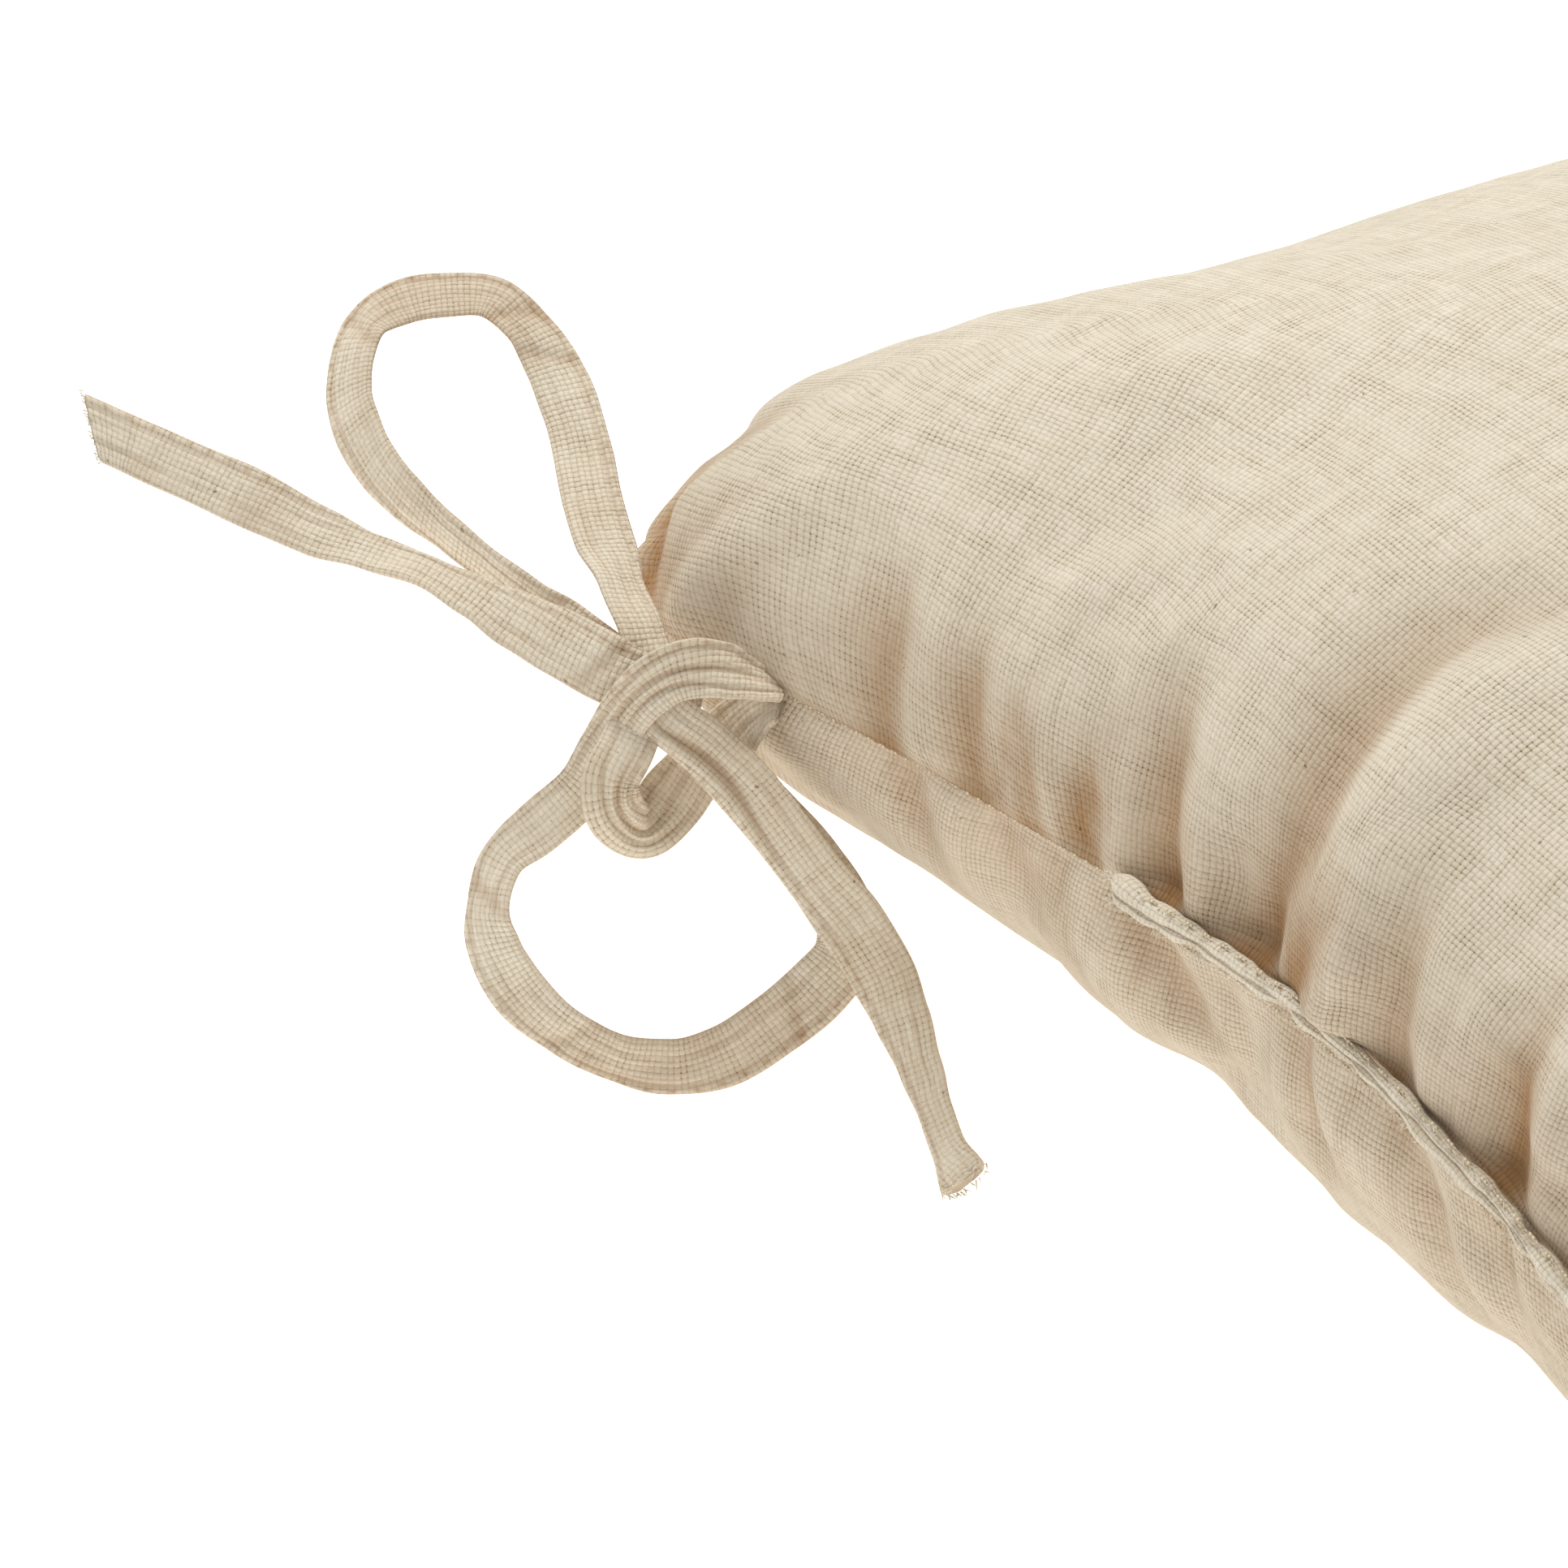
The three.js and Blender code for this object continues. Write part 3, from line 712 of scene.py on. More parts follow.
@dataclass
class Bow:
    """A pair of folded tapes sewn into the seam and tied in a bow."""

    side: Side
    heading: float = 60.0
    tilt: float = 32.0
    tape_width: float = 12 * MM
    tape_thickness: float = 1.9 * MM
    tapes: tuple[Tape, ...] = (OVER_TAPE, UNDER_TAPE)
    step: float = 1.0 * MM
    front_points: int = 24  # points across a tape's front, with half as many across its back
    knot_reach: float = 20 * MM  # half the stretch that the knot bunches
    gap_reach: float = 13 * MM
    rolled_end: float = 6 * MM
    cut_zone: float = 12 * MM  # the end that the slanted cut reaches
    kink_depth: float = 0.55 * MM
    kink_width: float = 1.6 * MM
    kink_slant: float = 3 * MM
    stitch_rows: int = 4  # the edge seam shows a stitch in every fourth row
    knot_place: tuple[float, float, float] = (22, -1.5, 0)  # out, up and near, in millimetres
    knot_radii: tuple[float, float, float] = (8.5 * MM, 8.0 * MM, 3.4 * MM)

    def __post_init__(self) -> None:
        """Sets up the bow's own plane."""
        heading, tilt = math.radians(self.heading), math.radians(self.tilt)
        low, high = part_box(f"{self.side.word}_bow_knot")
        knot_middle = (Vector(low) + Vector(high)) / 2
        knot_middle.x *= self.side.value
        self.out = Vector((math.cos(heading), math.sin(heading), 0))
        back = Vector((math.sin(heading), -math.cos(heading), 0))
        self.up = back * math.sin(tilt) + UP * math.cos(tilt)
        self.near = back * -math.cos(tilt) + UP * math.sin(tilt)
        out, up, _ = self.knot_place
        self.exit = knot_middle - self.out * (out * MM) - self.up * (up * MM)
        log.info("%s bow leaves the seam at %s", self.side.word, tuple(round(v, 4) for v in self.exit))

    @property
    def body(self) -> str:
        """The body that the bow rides on."""
        return f"{self.side.word}_bow"

    def spot(self, out: float, up: float, near: float) -> Vector:
        """A place in the bow's plane, on the right-hand side.

        Args:
            out: Millimetres out along the corner.
            up: Millimetres up the face.
            near: Millimetres out of the face.

        Returns:
            The point in the row frame, before the left bow is mirrored.
        """
        return self.exit + self.out * (out * MM) + self.up * (up * MM) + self.near * (near * MM)

    def mirrored(self, point: Vector) -> Vector:
        """The point on this bow's own side."""
        return Vector((point.x * self.side.value, point.y, point.z))

    def make(self, cloth: Material, yarn: Material) -> list[Piece]:
        """Makes both ties, their frayed ends and the knot.

        Args:
            cloth: The tapes' material.
            yarn: The material of the loose fibres at the ends.

        Returns:
            The pieces.
        """
        made = []
        for tape in self.tapes:
            made += self._tie(tape, cloth, yarn)
        return made + [self._knot(cloth)]

    def _section(self, tape: Tape, along: float, left: float, width: float) -> list[tuple[float, ...]]:
        """The tape's outline across its length: rounded edges, pressed-in creases and a slight cup.

        Args:
            tape: Which of the two ties it is.
            along: Distance from the seam in metres.
            left: Distance to the loose end.
            width: The share of the full width.

        Returns:
            Across, through and girth in metres, and painted shade from 0 to 1, for each point of the
            outline.
        """

        def wave(size: float, row: float) -> float:
            """A slow change along the tape, from about -1 to 1, with its own pattern for each row."""
            return noise.noise(Vector((along / size, tape.crease_seed, row)))

        half = self.tape_width / 2 * width * (1 + 0.05 * wave(0.013, 0))
        thick = self.tape_thickness / 2 * (1 + 0.5 * (1 - min(width, 1.0)) + 0.18 * wave(0.009, 7))
        bunched = bell(along - tape.bunched_at * MM, self.knot_reach)
        gaping = 0.0
        if tape.gap_from_end is not None:
            gaping = bell(left - tape.gap_from_end * MM, self.gap_reach)
            thick *= 1 + 1.3 * bell(left, self.rolled_end)
        cup = 0.9 * MM * wave(0.026, 4) + 1.6 * MM * max(0.0, 1 - width)
        # each long crease has a place across the tape, a depth and a width
        creases = [
            (-0.42 + 0.3 * wave(0.02, 11), MM * (0.2 + 0.5 * bunched + 0.35 * wave(0.017, 13)), 0.1),
            (0.1 + 0.4 * wave(0.024, 15), MM * (0.1 + 0.75 * bunched + 0.45 * wave(0.015, 17)), 0.11),
            (
                0.62 + 0.1 * wave(0.03, 9) - 0.4 * gaping,
                MM * (0.4 + 0.2 * bunched + 1.0 * gaping),
                0.09 + 0.12 * gaping,
            ),
        ]
        # the stretch where the inner face shows gets painted shade
        inner_start, inner_end = (edge * MM for edge in tape.inner_face)
        soft = 5 * MM
        inner = min(max((along - inner_start) / soft, 0), max((inner_end - along) / soft, 0), 1)
        outline, girth, last = [], 0.0, None
        back_points = self.front_points // 2
        for k in range(self.front_points + back_points):
            front = k <= self.front_points
            if front:
                across = -1 + 2 * k / self.front_points
            else:
                across = 1 - 2 * (k - self.front_points) / back_points
            body = max(1 - abs(across) ** 5, 0) ** 0.5
            through = thick * body * (1 if front else -1)
            # painted shade: darker at the rounded edges, on the back and where the inner face shows
            crease = 0.03 + 0.22 * abs(across) ** 9 + (0.2 * inner if front else 0.2)
            kinked = sum(
                bell(along + across * self.kink_slant - kink * MM, self.kink_width) for kink in tape.kinks
            )
            # painted shade in the sharp folds
            crease += 0.25 * kinked
            if front:
                through -= self.kink_depth * kinked * body
                for at, depth, reach in creases:
                    dip = bell(across - at, reach) * body
                    through -= max(depth, 0) * dip
                    # painted shade in each long crease
                    crease += 0.55 * min(max(depth, 0) / MM, 1) * dip
                    # the cloth swells a little beside the crease
                    through += 0.3 * max(depth, 0) * bell(across - at - 1.9 * reach, reach) * body
            x, y = across * half, through - cup * (1 - across * across)
            if last is not None:
                girth += math.hypot(x - last[0], y - last[1])
            last = (x, y)
            outline.append((x, y, girth, crease))
        return outline

    def _tie(self, tape: Tape, cloth: Material, yarn: Material) -> list[Piece]:
        """Sweeps one folded tape from the seam to its loose end, and frays the end.

        Args:
            tape: Which of the two ties it is.
            cloth: Its material.
            yarn: The material of the loose fibres at its end.

        Returns:
            The tie and its fibres.
        """
        line = TapeLine(
            [self.spot(*stop[:3]) for stop in tape.route],
            [math.radians(stop[3]) for stop in tape.route],
            [stop[4] for stop in tape.route],
        )
        stops = line.spaced(self.step)
        path = [stop[0] for stop in stops]
        rows = len(stops)
        length = self.step * (rows - 1)
        sections = [
            self._section(tape, row * self.step, length - row * self.step, stops[row][2])
            for row in range(rows)
        ]
        around = len(sections[0])
        cloth_mesh = bmesh.new()
        weave = cloth_mesh.loops.layers.uv.new("weave")
        painted_shade_and_marks_layer = cloth_mesh.verts.layers.float.new("crease")
        bmesh.ops.create_grid(cloth_mesh, x_segments=around, y_segments=rows - 1, size=1)
        seed = 2.0 * self.side.value + tape.crinkle_seed
        stitch_line, stitch_width = 0.78, 0.06  # shares of half the tape's width
        ends = []
        for vert in cloth_mesh.verts:
            column = round((vert.co.x + 1) / 2 * around)
            row = round((vert.co.y + 1) / 2 * (rows - 1))
            point, turn, _ = stops[row]
            tangent = (path[min(row + 1, rows - 1)] - path[max(row - 1, 0)]).normalized()
            face = (self.near - tangent * self.near.dot(tangent)).normalized()
            face.rotate(Matrix.Rotation(turn, 3, tangent))
            across = tangent.cross(face)
            x, y, girth, crease = sections[row][column % around]
            if column == around:
                girth = sections[row][-1][2] + 0.5 * MM
            spot = Vector((x / 0.0045, row * self.step / 0.007, seed))
            crinkle = 0.3 * MM * noise.noise(spot) + 0.14 * MM * noise.noise(spot * 2.7)
            run_out = max(0.0, 1 - (rows - 1 - row) * self.step / self.cut_zone)
            ragged = 0.5 * MM * noise.noise(Vector((x / 0.0012, 1, seed)))
            place = point + across * x + face * (y + crinkle * (1 if y > 0 else -0.3))
            place += tangent * (x * tape.end_slant + ragged) * run_out
            for loop in vert.link_loops:
                loop[weave].uv = (girth, row * self.step)
            # stitch marks of the edge seam go onto the same attribute as the painted shade
            if row % self.stitch_rows == 0 and y > 0:
                crease += 0.5 * bell(x / (self.tape_width / 2) - stitch_line, stitch_width)
            # uneven blotches of tone are added to the painted shade
            vert[painted_shade_and_marks_layer] = min(crease + 0.2 * max(0.0, noise.noise(spot * 0.45)), 1)
            place.z = max(place.z, FLOOR_GAP)
            vert.co = self.mirrored(place)
            if row == rows - 1:
                ends.append((self.mirrored(place), self.mirrored(tangent)))
        close_tube(cloth_mesh)
        name = f"{self.side.word}_{tape.word}_tie"
        tie = place_mesh(name, cloth_mesh, cloth, 1)
        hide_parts(f"{name}_anchor", f"{name}_lead", f"{name}_loop", f"{name}_tail")
        fringe = loose_fibres(f"{name}_fringe", ends, 70, 1.5 * MM, yarn)
        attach(fringe, self.body)
        # the hinge runs through the exit, so the whole tie turns with the bow and stays in the seam
        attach(tie, self.body)
        return [tie, fringe]

    def _knot(self, cloth: Material) -> Piece:
        """The small core that the tapes wrap round.

        Args:
            cloth: The tapes' material.

        Returns:
            The knot's core.
        """
        ball = bmesh.new()
        bmesh.ops.create_icosphere(ball, subdivisions=4, radius=1)
        weave = ball.loops.layers.uv.new("weave")
        middle = self.spot(*self.knot_place)
        wide, high, deep = self.knot_radii
        for vert in ball.verts:
            x, y, z = vert.co
            fold = 1 + 0.05 * math.sin(5 * math.atan2(y, x) + 3 * z)
            in_plane = self.out * (x * wide * fold) + self.up * (y * high * fold)
            place = middle + in_plane + self.near * (z * deep)
            for loop in vert.link_loops:
                loop[weave].uv = (x * 9 * MM + z * 4 * MM, y * 9 * MM)
            vert.co = self.mirrored(place)
        bmesh.ops.recalc_face_normals(ball, faces=ball.faces[:])
        knot = place_mesh(f"{self.side.word}_knot", ball, cloth)
        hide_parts(f"{self.side.word}_bow_knot")
        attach(knot, self.body)
        return knot


# ---------------------------------------------------------------- cushion


@dataclass
class Fold:
    """One fold of the case, along a line on the cut cloth.

    Points are across and along the cut panel in millimetres from its middle. depth is how far the
    cloth sinks in the fold, width the fold's half width, and lobe how far the cloth swells beside
    it, on the side that lean gives. The last number is how much painted shade darkens the fold.
    """

    panel: Panel
    points: list[tuple[float, float]]
    depth: float
    width: float
    lobe: float = 0.0
    lobe_width: float = 0.0
    lean: float = 1.0
    tint: float = 0.3


@dataclass
class Case:
    """The stuffed case: two square panels of linen, sewn round the edge.

    The gathers are the short folds that run into the seam from both panels: broad ones that reach
    far in, and fine ones close to the stitches.
    """

    half_width: float = 225 * MM
    side_pull: float = 28 * MM
    corner_radius: float = 38 * MM
    crown: float = 90 * MM
    belly: float = 82 * MM
    side_fullness: float = 0.33
    corner_fullness: float = 0.56
    rim: float = 1.1 * MM
    cut_half: float = 250 * MM  # half of one side of a cut panel
    cut_corner: float = 70 * MM
    cells: int = 150
    filling_cells: int = 40
    crowding: float = 0.6  # how much smaller the cells are at the seam
    trial_cells: int = 60
    trial_frames: int = 40
    trial_pressure: float = 5.0
    crumple: float = 0.4  # how much of the trial's wrinkles the case keeps
    wrinkle_blur: float = 2.2  # in cells of the trial: what is smoother than this isn't a wrinkle
    floor_turn: float = 6 * MM  # how softly the cloth leaves the floor
    gather_height_mm: float = 2.3
    broad_gather: float = 6.2 * MM
    fine_gather: float = 3.1 * MM
    broad_reach: float = 27 * MM
    fine_reach: float = 9 * MM
    ridge_height_mm: float = 0.3  # the seam allowance shows as a low ridge beside the seam
    ridge_place: float = 4.5 * MM
    seam_lift: float = 7.0 * MM  # how far the hand-sewn seam is drawn up between its ends
    closing_start: float = 66 * MM
    closing_length: float = 181 * MM
    folds: list[Fold] = field(default_factory=list)

    def __post_init__(self) -> None:
        """Works out the outline's arcs."""
        c = self.half_width - self.corner_radius
        self.corner_centre = c
        self.side_radius = ((self.corner_radius - self.side_pull) ** 2 + c**2 - self.corner_radius**2) / (
            2 * self.side_pull
        )
        self.side_centre = self.half_width - self.side_pull + self.side_radius

    def rim_at(self, angle: np.ndarray) -> np.ndarray:
        """The seam's distance from the middle.

        Args:
            angle: Directions in radians, 0 along +X.

        Returns:
            Distances in metres.
        """
        folded = np.abs((angle + math.pi / 4) % (math.pi / 2) - math.pi / 4)
        dx, dy = np.cos(folded), np.sin(folded)
        along = dx * self.side_centre
        gap = along**2 - (self.side_centre**2 - self.side_radius**2)
        on_side = along - np.sqrt(np.maximum(gap, 0))
        span = math.atan2(self.corner_centre, self.side_centre - self.corner_centre)
        at_side = (gap > 0) & (on_side * dy <= self.side_radius * math.sin(span))
        along = (dx + dy) * self.corner_centre
        inner = along**2 - 2 * self.corner_centre**2 + self.corner_radius**2
        on_corner = along + np.sqrt(np.maximum(inner, 0))
        return np.where(at_side, on_side, on_corner)

    def cut_at(self, angle: np.ndarray) -> np.ndarray:
        """The cut panel's edge: a square with round corners.

        Args:
            angle: Directions in radians.

        Returns:
            Distances from the panel's middle in metres.
        """
        folded = np.abs((angle + math.pi / 4) % (math.pi / 2) - math.pi / 4)
        dx, dy = np.cos(folded), np.sin(folded)
        straight = self.cut_half / dx
        c = self.cut_half - self.cut_corner
        along = (dx + dy) * c
        round_part = along + np.sqrt(np.maximum(along**2 - 2 * c**2 + self.cut_corner**2, 0))
        return np.where(straight * dy <= c, straight, round_part)

    def seam_level(self, angle: np.ndarray) -> np.ndarray:
        """The seam's height, which rises where the opening was drawn shut.

        Args:
            angle: Directions from the middle in radians.

        Returns:
            Heights in metres.
        """
        middle_distance, middle, reach = 200 * MM, 5 * MM, 65 * MM
        turn = np.angle(np.exp(1j * (np.asarray(angle) - math.pi / 2)))
        off = (turn * middle_distance + middle) / reach
        return SEAM_HEIGHT + self.seam_lift * np.exp(-(off**2))

    def fullness(self, angle: np.ndarray) -> np.ndarray:
        """How fast the height grows from the seam in each direction."""
        return self.side_fullness + (self.corner_fullness - self.side_fullness) * np.sin(2 * angle) ** 4

    def spots(self, cells: int, crowding: float) -> np.ndarray:
        """Places of the grid lines across a panel, from -1 to 1.

        Args:
            cells: How many cells lie side by side.
            crowding: 0 for even cells, towards 1 for small ones at the seam.

        Returns:
            The places.
        """
        even = np.linspace(-1, 1, cells + 1)
        return (1 - crowding) * even + crowding * np.sin(even * math.pi / 2)

    def flat(self, lines: np.ndarray) -> np.ndarray:
        """The grid's points on the cut panel, in metres.

        Args:
            lines: Places of the grid lines from -1 to 1.

        Returns:
            Rows and columns of x and y.
        """
        s, t = np.meshgrid(lines, lines, indexing="ij")
        angle = np.arctan2(t, s)
        reach = np.maximum(np.abs(s), np.abs(t)) * self.cut_at(angle)
        return np.stack([reach * np.cos(angle), reach * np.sin(angle)], -1)

    def stuffed(self, lines: np.ndarray, panel: Panel) -> np.ndarray:
        """The full, unwrinkled shape of a panel.

        Args:
            lines: Places of the grid lines from -1 to 1.
            panel: Top or bottom.

        Returns:
            Rows and columns of points in the row frame.
        """
        s, t = np.meshgrid(lines, lines, indexing="ij")
        angle = np.arctan2(t, s)[..., None]
        reach = np.maximum(np.abs(s), np.abs(t))
        rim = self.rim_at(angle) - self.rim
        shares = np.sin(np.linspace(0, 1, 240) * math.pi / 2)
        rise = np.maximum(1 - shares**2, 0) ** self.fullness(angle)
        if panel is Panel.TOP:
            level = SEAM_HEIGHT + self.crown * rise
        else:
            # the cloth rests on the floor, with a soft turn where it leaves it
            sunk = SEAM_HEIGHT - self.belly * rise
            level = 0.5 * (sunk + np.sqrt(sunk**2 + self.floor_turn**2)) - 0.1 * MM
            level = np.maximum(level + (SEAM_HEIGHT - level[..., -1:]), 0.2 * MM)
        steps = np.hypot(np.diff(shares * rim, axis=-1), np.diff(level, axis=-1))
        gone = np.concatenate([np.zeros_like(steps[..., :1]), np.cumsum(steps, -1)], -1)
        wanted = reach[..., None] * gone[..., -1:]
        index = np.clip((gone < wanted).sum(-1) - 1, 0, len(shares) - 2)

        def pick(table: np.ndarray, later: int = 0) -> np.ndarray:
            """Each grid point's own entry of a table, or the one after it."""
            return np.take_along_axis(table, index[..., None] + later, -1)[..., 0]

        part = (wanted[..., 0] - pick(gone)) / np.maximum(pick(gone, 1) - pick(gone), 1e-9)
        all_shares = np.broadcast_to(shares, gone.shape)
        share = pick(all_shares) * (1 - part) + pick(all_shares, 1) * part
        z = pick(level) * (1 - part) + pick(level, 1) * part
        radius = share * rim[..., 0]
        return np.stack([radius * np.cos(angle[..., 0]), radius * np.sin(angle[..., 0]), z], -1)

    def trial(self) -> dict[Panel, np.ndarray]:
        """Sews and inflates a trial case, and keeps only its wrinkles.

        Returns:
            For each panel, how far each grid point lies off the smoothed shape.
        """
        lines = self.spots(self.trial_cells, 0)
        flat = self.flat(lines)
        rng = np.random.default_rng(4)
        case = bmesh.new()
        bmesh.ops.create_grid(case, x_segments=self.trial_cells, y_segments=self.trial_cells, size=1)
        side_of = case.verts.layers.int.new("panel")
        row_of, column_of = case.verts.layers.int.new("row"), case.verts.layers.int.new("column")
        copied = bmesh.ops.duplicate(case, geom=case.verts[:] + case.edges[:] + case.faces[:])["geom"]
        below = {g for g in copied if isinstance(g, bmesh.types.BMVert)}
        bmesh.ops.reverse_faces(case, faces=[g for g in copied if isinstance(g, bmesh.types.BMFace)])
        for vert in case.verts:
            i, j = (round((c + 1) / 2 * self.trial_cells) for c in vert.co.xy)
            s, t = lines[i], lines[j]
            way = -1 if vert in below else 1
            dome = max(0.0, (1 - s * s) * (1 - t * t))
            lift = way * 30 * MM * dome**0.5 + (rng.normal() * 0.6 * MM if dome > 1e-9 else 0)
            vert[side_of], vert[row_of], vert[column_of] = way, i, j
            vert.co = (*flat[i, j], lift)
        bmesh.ops.remove_doubles(case, verts=case.verts[:], dist=SAME_POINT)
        mesh = bpy.data.meshes.new("trial")
        case.to_mesh(mesh)
        case.free()
        trial = bpy.data.objects.new("trial", mesh)
        bpy.context.collection.objects.link(trial)
        self._gather(trial)
        self._inflate(trial)
        seen = trial.evaluated_get(bpy.context.evaluated_depsgraph_get()).to_mesh()
        blown = np.zeros(len(seen.vertices) * 3)
        seen.vertices.foreach_get("co", blown)
        blown = blown.reshape(-1, 3)
        ways, rows, columns = (
            np.array([d.value for d in mesh.attributes[name].data]) for name in ("panel", "row", "column")
        )
        found = {}
        for panel in Panel:
            grid = np.zeros((self.trial_cells + 1,) * 2 + (3,))
            edge = (rows % self.trial_cells == 0) | (columns % self.trial_cells == 0)
            chosen = (ways == panel.value) | edge
            grid[rows[chosen], columns[chosen]] = blown[chosen]
            found[panel] = grid - self._smoothed(grid, self.wrinkle_blur)
        bpy.context.scene.frame_set(1)
        bpy.data.objects.remove(trial)
        log.info("trial case: wrinkles up to %.1f mm", max(np.abs(f).max() for f in found.values()) / MM)
        return found

    def _gather(self, trial: Piece) -> None:
        """Marks the cloth that the hand-sewn closing seam draws together.

        Args:
            trial: The trial case.
        """
        hem, from_right, from_left, soft = 12 * MM, 110 * MM, 160 * MM, 10 * MM
        group = trial.vertex_groups.new(name="drawn_in")
        for vert in trial.data.vertices:
            x, y, _ = vert.co
            near_edge = np.clip((y - (self.cut_half - hem)) / (hem / 2), 0, 1)
            after_start = np.clip((self.cut_half - x - from_right) / soft, 0, 1)
            before_end = np.clip((x + self.cut_half - from_left) / soft, 0, 1)
            group.add([vert.index], float(near_edge * after_start * before_end), "REPLACE")

    def _inflate(self, trial: Piece) -> None:
        """Runs the cloth simulation on the trial case.

        Args:
            trial: The trial case.
        """
        cloth = trial.modifiers.new("cloth", "CLOTH")
        settings = cloth.settings
        settings.quality = 5
        settings.mass = 0.3
        settings.tension_stiffness = settings.compression_stiffness = 25
        settings.shear_stiffness = 10
        settings.bending_stiffness = 1.0
        settings.tension_damping = settings.compression_damping = settings.shear_damping = 5
        settings.bending_damping = 0.5
        settings.air_damping = 2
        settings.use_pressure = True
        settings.uniform_pressure_force = self.trial_pressure
        settings.effector_weights.gravity = 0
        settings.vertex_group_shrink = "drawn_in"
        settings.shrink_min, settings.shrink_max = 0.0, -0.08
        cloth.collision_settings.use_collision = False
        cloth.collision_settings.use_self_collision = False
        cloth.point_cache.frame_start, cloth.point_cache.frame_end = 1, self.trial_frames
        for frame in range(1, self.trial_frames + 1):
            bpy.context.scene.frame_set(frame)

    @staticmethod
    def _smoothed(grid: np.ndarray, reach: float) -> np.ndarray:
        """Blurs a grid of points, mirroring it past its edges.

        Args:
            grid: Rows and columns of points.
            reach: The blur's spread in cells.

        Returns:
            The blurred grid.
        """
        span = int(reach * 3)
        weights = np.exp(-0.5 * (np.arange(-span, span + 1) / reach) ** 2)
        weights /= weights.sum()
        for axis in (0, 1):
            moved = np.moveaxis(grid, axis, 0)
            first, last = moved[:1], moved[-1:]
            before, after = 2 * first - moved[span:0:-1], 2 * last - moved[-2 : -span - 2 : -1]
            padded = np.concatenate([before, moved, after])
            moved = sum(w * padded[k : k + len(moved)] for k, w in enumerate(weights))
            grid = np.moveaxis(moved, 0, axis)
        return grid

    def _spread(self, values: np.ndarray, lines: np.ndarray) -> np.ndarray:
        """Reads the trial's grid at the finer grid's lines.

        Args:
            values: The trial's rows and columns.
            lines: Places of the finer grid's lines.

        Returns:
            The values on the finer grid.
        """
        at = (lines + 1) / 2 * self.trial_cells
        first = np.clip(at.astype(int), 0, self.trial_cells - 1)
        share = (at - first)[:, None]
        keep = np.zeros((len(lines), self.trial_cells + 1))
        for offset, weight in (
            (-1, -0.5 * share**3 + share**2 - 0.5 * share),
            (0, 1.5 * share**3 - 2.5 * share**2 + 1),
            (1, -1.5 * share**3 + 2 * share**2 + 0.5 * share),
            (2, 0.5 * share**3 - 0.5 * share**2),
        ):
            column = np.clip(first + offset, 0, self.trial_cells)
            np.add.at(keep, (np.arange(len(lines)), column), weight[:, 0])
        return np.einsum("ia,abk,jb->ijk", keep, values, keep)

    @staticmethod
    def _outward(grid: np.ndarray, panel: Panel) -> np.ndarray:
        """Unit directions away from the filling.

        Args:
            grid: Rows and columns of points.
            panel: Top or bottom.

        Returns:
            Rows and columns of directions.
        """
        down, across = np.gradient(grid, axis=0), np.gradient(grid, axis=1)
        away = np.cross(down, across) * panel.value
        return away / np.maximum(np.linalg.norm(away, axis=-1, keepdims=True), 1e-12)

    def shape(
        self, panel: Panel, wrinkles: dict[Panel, np.ndarray], lines: np.ndarray
    ) -> tuple[np.ndarray, np.ndarray]:
        """The finished shape of one panel.

        Args:
            panel: Top or bottom.
            wrinkles: The trial's wrinkles.
            lines: Places of the grid lines.

        Returns:
            Points in the row frame, and how much painted shade each one gets, from 0 to 1, most in creases.
        """
        plain = self.stuffed(lines, panel)
        flat = self.flat(lines)
        s, t = np.meshgrid(lines, lines, indexing="ij")
        inside = (1 - np.maximum(np.abs(s), np.abs(t))) * self.cut_half  # distance from the seam

        def near_seam(reach: float | np.ndarray) -> np.ndarray:
            """A hump over the seam: 1 on it, and nearly 0 past twice the reach."""
            return np.exp(-((inside / reach) ** 2))

        resting = np.ones_like(inside)
        if panel is Panel.BOTTOM:
            resting = smoothstep(plain[..., 2], 1 * MM, 22 * MM)
        fade = smoothstep(inside, 0, 16 * MM) * self.crumple
        grid = plain + self._spread(wrinkles[panel], lines) * (fade * resting)[..., None]
        away = self._outward(grid, panel)
        rise, crease = self._folded(flat / MM, panel)
        at_stitches = smoothstep(inside, 0.0, 3 * MM)
        edge_way = np.arctan2(flat[..., 1], flat[..., 0])
        gathered = self._gathers(edge_way * self.half_width, panel, near_seam) * at_stitches
        rise = rise * at_stitches + self.gather_height_mm * gathered
        ridge = np.exp(-(((inside - self.ridge_place) / (3.2 * MM)) ** 2)) * at_stitches
        rise += self.ridge_height_mm * ridge
        # painted shade in the gathers' hollows and along the seam's line
        crease += 0.75 * np.clip(-gathered, 0, 1) + 0.3 * near_seam(1.4 * MM)
        # painted shade darkens the cloth towards the seam, a little on top and more underneath
        if panel is Panel.TOP:
            crease += 0.2 * near_seam(26 * MM) + 0.1 * near_seam(75 * MM)
        else:
            crease = 0.6 * crease + 0.28 * near_seam(80 * MM)
        grid = grid + away * (rise * MM * resting)[..., None]
        lift = self.seam_level(edge_way) - SEAM_HEIGHT
        grid[..., 2] += lift * near_seam(38 * MM) * resting
        if panel is Panel.BOTTOM:
            grid[..., 2] = np.maximum(grid[..., 2], FLOOR_GAP)
        edge = np.maximum(np.abs(s), np.abs(t)) > 1 - 1e-9
        grid[edge] = plain[edge]
        grid[edge, 2] = self.seam_level(edge_way)[edge]
        return grid, np.clip(crease, 0, 1)

